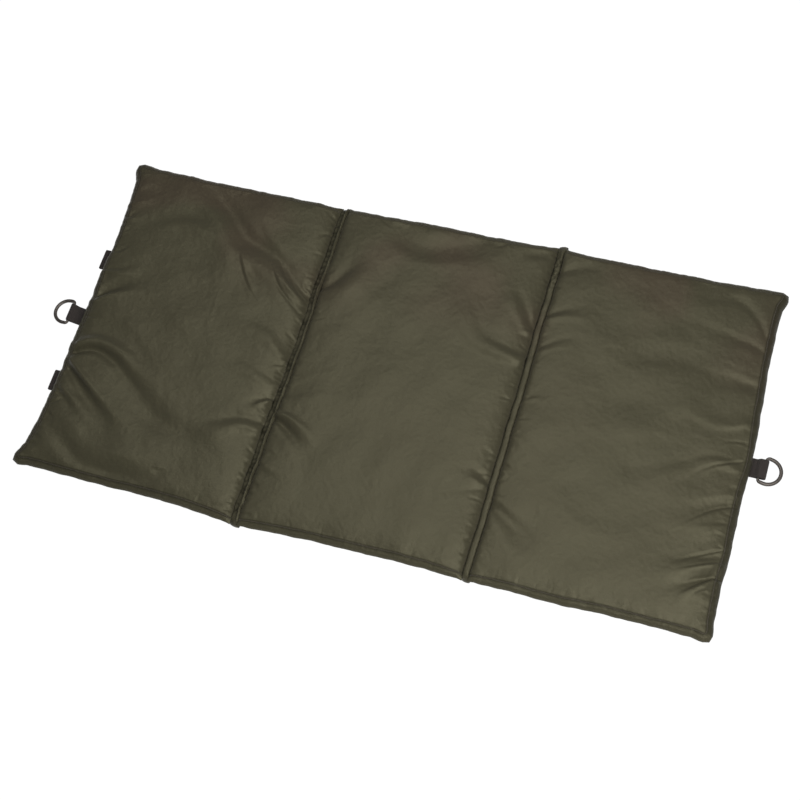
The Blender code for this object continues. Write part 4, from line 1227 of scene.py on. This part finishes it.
class MAT_OT_base_covers(bpy.types.Operator):
    """Lay the covers' ground sheets"""

    bl_idname = "mat.base_covers"
    bl_label = "Base Covers"

    def execute(self, context):
        for panel in panels():
            columns = np.linspace(0, 1, round(panel.length / BASE_GRID) + 1)
            columns = np.sort(np.append(columns, self.under_the_web(panel)))
            u, v = np.meshgrid(columns, np.linspace(0, 1, 2 * round(HALF_WIDTH / BASE_GRID)))
            x, y, _, gap = panel.plan(u, v, BASE_INSET)
            low = panel.base(x, y, gap)
            heights = (low, low + BASE_THICKNESS)
            obj = slab(panel.name + "_base_sheet", x, y, heights, finish_of("base_fabric"))
            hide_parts(panel.name + "_base_cover")
            follow(obj, panel.name)
        return {"FINISHED"}

    def under_the_web(self, panel):
        """Shares along an end panel that take its sheet under the fold's web, and more near the row."""
        first, last = ROW_PLACES[panel.name] if panel.sewn_end else (0, 0)
        out = np.linspace(last - first, 0, 6)[:-1] / panel.length
        close = np.array(COLUMNS_BY_THE_ROW) / panel.length
        if panel.sewn_end > 0:
            return np.concatenate([-out, close])
        return np.concatenate([1 + out, 1 - close]) if panel.sewn_end < 0 else []


def seam_paths(panel):
    """The sewn line of each of a panel's sewn runs, with its outward directions."""
    top, _, _, index = cover_top(panel)
    found = []
    for run in rim_runs(index, panel.sewn_end):
        rim = top.reshape(-1, 3)[run]
        seam, out = seam_line(rim)
        found.append((np.column_stack([seam, rim[:, 2] - SEAM_SINK]), out))
    return found


EDGE_SEAM_RADIUS = 0.0007


class MAT_OT_edge_seams(bpy.types.Operator):
    """Run the sewn edge round each cover"""

    bl_idname = "mat.edge_seams"
    bl_label = "Edge Seams"

    def execute(self, context):
        angles = angles_round(8)
        for panel in panels():
            names = ("near", "far") if panel.name == "middle" else ("",)
            for side, (path, out) in zip(names, seam_paths(panel)):
                dice = np.random.default_rng(hash_of(panel.name + side, 51))
                radius = EDGE_SEAM_RADIUS * (1 + 0.2 * dice.random(len(path)))
                outward = np.column_stack([out, np.zeros(len(out))])
                up = np.array((0, 0, 1.0))
                ring = (np.cos(angles)[None, :, None] * outward[:, None, :]
                        + np.sin(angles)[None, :, None] * up[None, None, :])
                sections = path[:, None, :] + ring * radius[:, None, None]
                joined = panel.name + "_" + side + ("_" if side else "")
                obj = loft(joined + "edge_seam", sections, finish_of("seam_tape"))
                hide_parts(joined + "welt")
                follow(obj, panel.name)
        return {"FINISHED"}


STRIP_TURN_Y = 0.2465
STRIP_TURN_RADIUS = 0.0085
STRIP_FLANGE = 0.0040
STRIP_EDGE_HEIGHT = 0.0104
STRIP_RISE = {"left": 0.0042, "right": 0.0040}
STRIP_LIFTS = {
    "left": ((0.110, 0.018, 0.0016), (-0.087, 0.015, 0.0018)),
    "right": ((0.225, 0.020, 0.0010),),
}
ROPE_PITCH = 0.0047
ROPE_HEIGHT = 0.0008
ROPE_SLANT = 0.0035
ROPE_TUCKS = 0.0014
FLAT_TUCKS = 0.0012
CRUMPLES = 0.0009
CRUMPLED_FROM_Y = 0.185
STRIP_WAVE = 0.0004
STRIP_GATHERS = (0.0072, 0.0017)
STRIP_END_REACH = 0.0036
STRIP_TUFTS = {"left": (0.0009, -0.0046), "right": (-0.0039, 0.0058)}


def strip_top(name, across, y):
    """Height of a web's upper face at shares across it, and how much painted shade it gets there."""
    gathers = Gathers(hash_of(name, 61), -HALF_WIDTH, HALF_WIDTH, *STRIP_GATHERS)
    pits = gathers(y + 0 * across, 0.004 * across)
    rise = STRIP_RISE[name] + sum(lift * math.exp(-((y - place) / reach) ** 2)
                                  for place, reach, lift in STRIP_LIFTS[name])
    slow = STRIP_WAVE * Ripple(hash_of(name, 62), 0.020, 0.060)(y, 0.0)
    if name == "left":
        sunk = smooth_step((0.35 - across) / 0.6)
        ridge = np.exp(-((across - 0.45) / 0.36) ** 2)
        rope = ROPE_HEIGHT * np.cos(2 * math.pi * (y - ROPE_SLANT * across) / ROPE_PITCH) * ridge
        rise *= 1 + 0.3 * float(Ripple(hash_of(name, 64), 0.012, 0.035)(y, 0.0))
        height = rise * ridge - ROPE_TUCKS * pits * sunk + rope
        # Painted shade over the web's sunk left part, darker at its pits, along its rims, and at least 0.45
        # over all of it.
        tone = np.maximum(sunk * (0.68 + 0.32 * np.minimum(1, 1.5 * pits)), np.abs(across) ** 8)
        tone = np.maximum(tone, 0.45 + 0.25 * pits)
    else:
        crumple = float(smooth_step((y - CRUMPLED_FROM_Y) / 0.02))
        folds = Ripple(hash_of(name, 63), 0.006, 0.020)(y + 0 * across, 0.006 * across)
        height = rise * (1 - np.abs(across) ** 5) - FLAT_TUCKS * pits * across ** 2
        height += CRUMPLES * crumple * folds
        # Painted shade along the rims and over the crumpled far end, darker in its hollows.
        tone = np.maximum(np.abs(across) ** 8, crumple * (0.62 - 0.2 * folds))
    return STRIP_EDGE_HEIGHT + 0.0010 * (1 + across) + height + slow, tone


class MAT_OT_fold_strips(bpy.types.Operator):
    """Lay the stitched webs in the two fold channels"""

    bl_idname = "mat.fold_strips"
    bl_label = "Fold Strips"

    def execute(self, context):
        for name, fold_x in (("left", LEFT_FOLD_X), ("right", RIGHT_FOLD_X)):
            obj = self.strip(name, fold_x)
            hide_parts(name + "_fold_strip")
            follow(obj, name)
        return {"FINISHED"}

    def strip(self, name, fold_x):
        """A web with a flange under each cover. Its ends turn down and close the channel."""
        flat = np.arange(-STRIP_TURN_Y, STRIP_TURN_Y, 0.0015)
        turn = np.linspace(0, QUARTER, 9)
        stations = [(-STRIP_TURN_Y, -angle) for angle in turn[:0:-1]] + [(y, 0) for y in flat]
        stations += [(STRIP_TURN_Y, angle) for angle in turn]
        across = np.linspace(-1, 1, 15)
        first, last = ROW_PLACES[name]
        web = (first + last) / 2 + (last - first) / 2 * 0.97 * across
        flange = np.array((STRIP_FLANGE, STRIP_FLANGE / 3))
        spread = np.concatenate([first - flange, web, last + flange[::-1]])
        middle_z = (CHANNEL_HEIGHT + CHANNEL_LIFT) / 2
        bottom = CHANNEL_LIFT + BASE_THICKNESS
        sections = []
        tones = []
        for y, angle in stations:
            turned = math.sin(abs(angle)) ** 2
            x = fold_x + fold_sway(fold_x, np.array(y)) + spread * (1 + 0.2 * turned)
            tuft = STRIP_TUFTS[name][0 if y < 0 else 1]
            top, tone = strip_top(name, across, y)
            end = STRIP_EDGE_HEIGHT + STRIP_RISE[name] + STRIP_END_REACH + tuft - 0.0012 * (across - 0.4) ** 2
            top += turned * (end - top)
            # Painted shade: full on the hems and over all of the underside.
            tones.append(np.concatenate([(1, 1), tone, (1, 1), np.ones(len(spread))]))
            hem = np.array((bottom + 0.0006, bottom + 0.0010))
            top = np.concatenate([hem, top, hem[::-1]])
            low = np.full(len(spread), bottom)
            parts = []
            for heights, order in ((top, slice(None)), (low, slice(None, None, -1))):
                raised = heights - middle_z + STRIP_TURN_RADIUS
                place_z = middle_z - STRIP_TURN_RADIUS + raised * math.cos(angle)
                parts.append(np.column_stack([x, y + raised * math.sin(angle), place_z])[order])
            sections.append(np.vstack(parts))
        obj = loft(name + "_strip", sections, finish_of("olive_nylon"))
        keep_painted_shade(obj, np.concatenate(tones))
        return obj


def webbing_band(name, path, middle_y, width, thickness):
    """A ribbed band that follows a path of (x, z) places, with rounded selvedges."""
    path = np.asarray(path, float)
    along = unit(np.gradient(path, axis=0))
    normal = np.column_stack([-along[:, 1], along[:, 0]])
    across = np.linspace(-1, 1, 41)
    ribs = 0.00012 * np.cos(2 * math.pi * across * width / 2 / settings().rib_pitch)
    selvedge = np.abs(across) ** 24
    half = (thickness / 2) * (1 - 0.75 * selvedge) + ribs * (1 - selvedge)
    sections = []
    for (x, z), (nx, nz), y in zip(path, normal, np.broadcast_to(middle_y, len(path))):
        upper = np.column_stack([x + nx * half, y + across * width / 2, z + nz * half])
        lower = np.column_stack([x - nx * half, y + across * width / 2, z - nz * half])[::-1]
        sections.append(np.vstack([upper, lower]))
    return loft(name, sections, finish_of("webbing"))


def arc(centre, radius, start, end, steps):
    angles = np.linspace(start, end, steps + 1)
    return [(centre[0] + radius * math.cos(a), centre[1] + radius * math.sin(a)) for a in angles]


def resampled(points, step):
    """Places at even steps along straight pieces between points."""
    points = np.asarray(points, float)
    run = run_along(points)
    stations = np.linspace(0, run[-1], max(2, round(run[-1] / step)) + 1)
    return np.column_stack([np.interp(stations, run, points[:, i]) for i in range(points.shape[1])])


TAB_EYE_RADIUS = 0.0024
TAB_LEAN = 0.0045
# How far from the sewn edge and how high above the ground the tabs' lower layer bends
TAB_BENDS = ((-0.003, 0.0013), (0.0006, 0.0013), (0.0031, 0.0001))
TAB_STITCHED = 0.009


def tab_edge(side):
    """Where the mat's sewn edge crosses an end's ring tab."""
    return HALF_LENGTH - (LEFT_DRAW if side < 0 else 0)


class MAT_OT_ring_tabs(bpy.types.Operator):
    """Double the webbing tabs round the rings' bars"""

    bl_idname = "mat.ring_tabs"
    bl_label = "Ring Tabs"

    def execute(self, context):
        for name, side in ENDS:
            low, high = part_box(name + "_ring_tab")
            bar_x = abs(JOINTS[name + "_ring_swing"]["pos_m"][0])
            half = WEBBING_THICKNESS / 2
            eye = TAB_EYE_RADIUS + half
            slack = abs(high[0] if side > 0 else low[0]) - bar_x - eye - half
            lower = [(tab_edge(side) + out, up + half) for out, up in TAB_BENDS]
            loop = arc((bar_x + slack, BAR_HEIGHT), eye, -QUARTER, QUARTER, 12)
            loop += arc((bar_x - slack, BAR_HEIGHT), eye, QUARTER, QUARTER * 1.35, 4)
            upper = [(bar_x - TAB_STITCHED, TAB_BENDS[-1][1] + 3 * half)]
            upper += [(x, z + 2 * half) for x, z in lower[::-1]]
            path = resampled(lower + loop + upper, 0.0007)
            lean = TAB_LEAN if side < 0 else 0.0
            root = lower[0][0]
            middle = RING_Y + lean * ((path[:, 0] - root) / (bar_x - root) - 1)
            path[:, 0] *= side
            obj = webbing_band(name + "_tab", path, middle, TAB_WIDTH, WEBBING_THICKNESS)
            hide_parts(name + "_ring_tab")
            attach(obj, name + "_panel")
        return {"FINISHED"}


RIGHT_RING_TWIST = math.radians(-12)


class MAT_OT_d_rings(bpy.types.Operator):
    """Bend the wire D-rings"""

    bl_idname = "mat.d_rings"
    bl_label = "D-Rings"

    def execute(self, context):
        half = RING_INNER_WIDTH / 2 + RING_WIRE_RADIUS
        bow_x = RING_REACH - RING_WIRE_RADIUS - half
        corner = RING_CORNER_RADIUS
        outline = arc((corner, corner - half), corner, math.pi, math.pi * 1.5, 8)
        outline += arc((bow_x, 0.0), half, -QUARTER, QUARTER, 36)
        outline += arc((corner, half - corner), corner, QUARTER, math.pi, 8)
        outline += [(0.0, y) for y in np.linspace(half - corner, corner - half, 10)[1:-1]]
        path = np.array(outline)
        along = unit(np.roll(path, -1, 0) - np.roll(path, 1, 0))
        inward = np.column_stack([-along[:, 1], along[:, 0]])
        angles = angles_round(16)
        radius = RING_BAR_RADIUS + (RING_WIRE_RADIUS - RING_BAR_RADIUS) * smooth_step(path[:, 0] / 0.005)
        droop = math.asin((BAR_HEIGHT - RING_WIRE_RADIUS) / (RING_REACH - RING_WIRE_RADIUS))
        sections = np.zeros((len(path), len(angles), 3))
        for i, angle in enumerate(angles):
            flat = path + inward * (radius * math.cos(angle))[:, None]
            sections[:, i] = np.column_stack([flat, radius * math.sin(angle)])
        for name, side in ENDS:
            twist = RIGHT_RING_TWIST if name == "right" else 0.0
            bar = Matrix.Translation(JOINTS[name + "_ring_swing"]["pos_m"])
            turn = (bar @ Matrix.Rotation(twist, 4, "Z")
                    @ Matrix.Scale(side, 4, (1, 0, 0)) @ Matrix.Rotation(droop, 4, "Y"))
            placed = [[tuple(turn @ Vector(point)) for point in ring] for ring in sections]
            obj = loft(name + "_ring", placed, finish_of("gunmetal"), closed_along=True)
            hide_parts(name + "_d_ring")
            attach(obj, name + "_ring")
        return {"FINISHED"}


class MAT_OT_closure_straps(bpy.types.Operator):
    """Lay the closure straps: sewn root, turn and free length"""

    bl_idname = "mat.closure_straps"
    bl_label = "Closure Straps"

    def execute(self, context):
        for side, middle_y in STRAP_SIDES_Y.items():
            root_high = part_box(side + "_strap_root")[1]
            free_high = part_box(side + "_closure_strap")[1]
            turn_x = STRAP_FOLD_X - STRAP_STAND_OUT
            path = [(root_high[0], STRAP_TURN_HEIGHT + STRAP_TURN_RADIUS)]
            path += arc((turn_x, STRAP_TURN_HEIGHT), STRAP_TURN_RADIUS, QUARTER, 3 * QUARTER, 10)
            path += [(free_high[0], STRAP_TURN_HEIGHT - STRAP_TURN_RADIUS)]
            path = resampled(path, 0.0008)
            obj = webbing_band(side + "_strap", path, middle_y, STRAP_WIDTH, STRAP_THICKNESS)
            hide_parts(side + "_strap_root", side + "_strap_turn", side + "_closure_strap")
            side + "_strap"
            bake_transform(obj)
        return {"FINISHED"}


STITCH_STEPS = 6
THREAD_SIDES = 6


def stitches(path):
    """Vertices and faces of short threads along a path, each bowed up from the cloth."""
    sizes = settings()
    path = resampled(path, sizes.stitch_length / STITCH_STEPS)
    angles = angles_round(THREAD_SIDES)
    bow = sizes.thread_radius * (1.2 * np.sin(np.linspace(0, math.pi, STITCH_STEPS)) - 0.6)
    places, faces = [], []
    index = np.arange(STITCH_STEPS * THREAD_SIDES).reshape(STITCH_STEPS, THREAD_SIDES)
    walls = grid_faces(np.hstack([index, index[:, :1]]))
    for start in range(0, len(path) - STITCH_STEPS, STITCH_STEPS):
        part = path[start:start + STITCH_STEPS]
        along = part[-1] - part[0]
        along /= np.linalg.norm(along)
        side = np.cross(along, (0, 0, 1.0))
        side /= np.linalg.norm(side)
        up = np.cross(side, along)
        ring = np.cos(angles)[:, None] * side + np.sin(angles)[:, None] * up
        rings = part[:, None] + bow[:, None, None] * up + sizes.thread_radius * ring[None]
        first = index.size * len(places)
        faces += (walls + first).tolist()
        faces += [(index[0, ::-1] + first).tolist(), (index[-1] + first).tolist()]
        places.append(rings.reshape(-1, 3))
    return np.vstack(places), faces


TAB_ROWS = (0.0042, 0.0068)
TAB_ROW_SHARE = 0.42
ROW_INSET = 0.0011
TAPE_ROW_INSET = 0.0022


class MAT_OT_threads(bpy.types.Operator):
    """Sew the stitches that show"""

    bl_idname = "mat.threads"
    bl_label = "Threads"

    def execute(self, context):
        for panel in panels():
            rows = [self.row(panel, way) for _, way in panel.channel_rows()]
            follow(self.sewn(panel.name + "_row_threads", rows), panel.name)
        across = RING_Y + np.array((-TAB_ROW_SHARE, TAB_ROW_SHARE)) * TAB_WIDTH
        for name, side in ENDS:
            rows = [[(side * (tab_edge(side) + out), y, 0.0003 + 2 * WEBBING_THICKNESS) for y in across]
                    for out in TAB_ROWS]
            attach(self.sewn(name + "_tab_threads", rows), name + "_panel")
        for side in STRAP_SIDES_Y:
            self.tape_threads(side + "_loop_tape", "middle_panel")
            self.tape_threads(side + "_hook_tape", side + "_strap")
        return {"FINISHED"}

    def row(self, panel, way):
        v = np.linspace(0.004, 0.996, 700)
        share = ROW_INSET / panel.length
        x, y, distance, gap = panel.plan(np.full(v.shape, share if way > 0 else 1 - share), v, GROOVE)
        return np.column_stack([x, y, panel.skin_height(x, y, distance, gap) + 0.0001])

    def tape_threads(self, node, body):
        """Stitches round a tape, just inside its edge and under it."""
        low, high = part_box(node)
        inset = TAPE_ROW_INSET
        x0, y0, x1, y1 = low[0] + inset, low[1] + inset, high[0] - inset, high[1] - inset
        z = low[2]
        round_it = [(x0, y0, z), (x1, y0, z), (x1, y1, z), (x0, y1, z), (x0, y0, z)]
        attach(self.sewn(node + "_threads", [round_it[i:i + 2] for i in range(4)]), body)

    def sewn(self, name, rows):
        places, faces, count = [], [], 0
        for row in rows:
            verts, sides = stitches(row)
            faces += [[number + count for number in face] for face in sides]
            places.append(verts)
            count += len(verts)
        obj = new_object(name, np.vstack(places), faces, finish_of("seam_tape"))
        face_the_right_way(obj)
        return obj


class MAT_OT_touch_tapes(bpy.types.Operator):
    """Give the hook and loop tapes their finish"""

    bl_idname = "mat.touch_tapes"
    bl_label = "Touch Tapes"

    def execute(self, context):
        for side in STRAP_SIDES_Y:
            for kind in ("hook", "loop"):
                node = frame["nodes"][side + "_" + kind + "_tape"]
                node.data.materials.clear()
                node.data.materials.append(finish_of("touch_tape"))
        return {"FINISHED"}


def camera_matrix(stage):
    """The camera's place and turn, from the angles of the photograph."""
    a, e, r = stage.azimuth, stage.elevation, stage.roll
    back = Vector((math.sin(a) * math.cos(e), -math.cos(a) * math.cos(e), math.sin(e)))
    right = Vector((math.cos(a), math.sin(a), 0))
    up = back.cross(right)
    turned_right = right * math.cos(r) + up * math.sin(r)
    turned_up = up * math.cos(r) - right * math.sin(r)
    turn = Matrix((turned_right, turned_up, back)).transposed().to_4x4()
    return Matrix.Translation(stage.place) @ turn


FLOOR_REACH = 12.0
FLOOR_GREY = 0.8
FLOOR_GLOW = 1.10
FLOOR_GLOW_SHARE = 0.90
FLOOR_MIRRORED = 0.35
WORLD_MIRRORED = 0.15
WORLD_FILL = 0.02


class MAT_OT_stage(bpy.types.Operator):
    """Set the floor, the lamps, the world and the camera"""

    bl_idname = "mat.stage"
    bl_label = "Stage"

    def execute(self, context):
        scene = context.scene
        stage = scene.mat_stage
        camera = bpy.data.objects.new("camera", bpy.data.cameras.new("camera"))
        camera.data.lens = stage.lens
        camera.matrix_world = camera_matrix(stage)
        scene.collection.objects.link(camera)
        scene.camera = camera
        self.floor()
        self.lamp("key_lamp", stage.key_place, stage.lamp_size, stage.key_power)
        self.lamp("far_lamp", stage.far_place, stage.lamp_size, stage.far_power)
        self.world(scene)
        scene.view_settings.view_transform = "Standard"
        return {"FINISHED"}

    def floor(self):
        """A matt floor that keeps the mat's shadow and that the camera sees nearly white."""
        material = bpy.data.materials.new("floor")
        nodes = Nodes(material)
        nodes.tree.nodes.clear()
        matt = nodes.node("BsdfDiffuse", None, {"Color": (FLOOR_GREY, FLOOR_GREY, FLOOR_GREY, 1)})
        glow = nodes.node("Emission", None, {"Strength": FLOOR_GLOW})
        camera, mirrored = nodes.pale_surroundings()
        share = (mirrored * FLOOR_MIRRORED).above(camera) * FLOOR_GLOW_SHARE
        mix = nodes.node("MixShader", None, {0: share, 1: matt, 2: glow})
        out = nodes.tree.nodes.new("ShaderNodeOutputMaterial")
        nodes.feed(out.inputs["Surface"], mix)
        reach = FLOOR_REACH
        corners = [(-reach, -reach, 0), (reach, -reach, 0), (reach, reach, 0), (-reach, reach, 0)]
        obj = new_object("floor", corners, [(0, 1, 2, 3)], material, smooth=False)

    def lamp(self, name, place, size, energy):
        data = bpy.data.lights.new(name, "AREA")
        data.shape = "SQUARE"
        data.size = size
        data.energy = energy
        obj = bpy.data.objects.new(name, data)
        obj.location = place
        obj.rotation_euler = (-Vector(place)).to_track_quat("-Z", "Y").to_euler()
        bpy.context.scene.collection.objects.link(obj)

    def world(self, scene):
        world = scene.world = bpy.data.worlds.new("soft_studio")
        nodes = Nodes(world)
        background = nodes.tree.nodes["Background"]
        background.inputs["Color"].default_value = (1, 1, 1, 1)
        camera, mirrored = nodes.pale_surroundings()
        nodes.feed(background.inputs["Strength"], camera.above(mirrored * WORLD_MIRRORED).above(WORLD_FILL))


OPERATORS = (
    MAT_OT_covers, MAT_OT_foam_pads, MAT_OT_base_covers, MAT_OT_edge_seams, MAT_OT_fold_strips,
    MAT_OT_ring_tabs, MAT_OT_d_rings, MAT_OT_closure_straps, MAT_OT_touch_tapes, MAT_OT_threads, MAT_OT_stage,
)


class MAT_PT_sidebar(bpy.types.Panel):
    """The mat's sizes, colours and steps"""

    bl_label = "Unhooking Mat"
    bl_idname = "MAT_PT_sidebar"
    bl_space_type = "VIEW_3D"
    bl_region_type = "UI"
    bl_category = "Mat"

    def draw(self, context):
        for group in (context.scene.mat_sizes, context.scene.mat_colours, context.scene.mat_stage):
            box = self.layout.box()
            for name in group.__annotations__:
                box.prop(group, name)
        for operator in OPERATORS:
            self.layout.operator(operator.bl_idname)


GROUPS = {"mat_sizes": MatSizes, "mat_colours": MatColours, "mat_stage": MatStage}
CLASSES = (*GROUPS.values(), *OPERATORS, MAT_PT_sidebar)


def register():
    for cls in CLASSES:
        bpy.utils.register_class(cls)
    for name, group in GROUPS.items():
        setattr(bpy.types.Scene, name, bpy.props.PointerProperty(type=group))


def unregister():
    for name in GROUPS:
        delattr(bpy.types.Scene, name)
    for cls in reversed(CLASSES):
        bpy.utils.unregister_class(cls)


def main():
    register()
    for operator in OPERATORS:
        family, step = operator.bl_idname.split(".")
        getattr(getattr(bpy.ops, family), step)()
    bpy.context.view_layer.update()


if __name__ == "__main__":
    main()
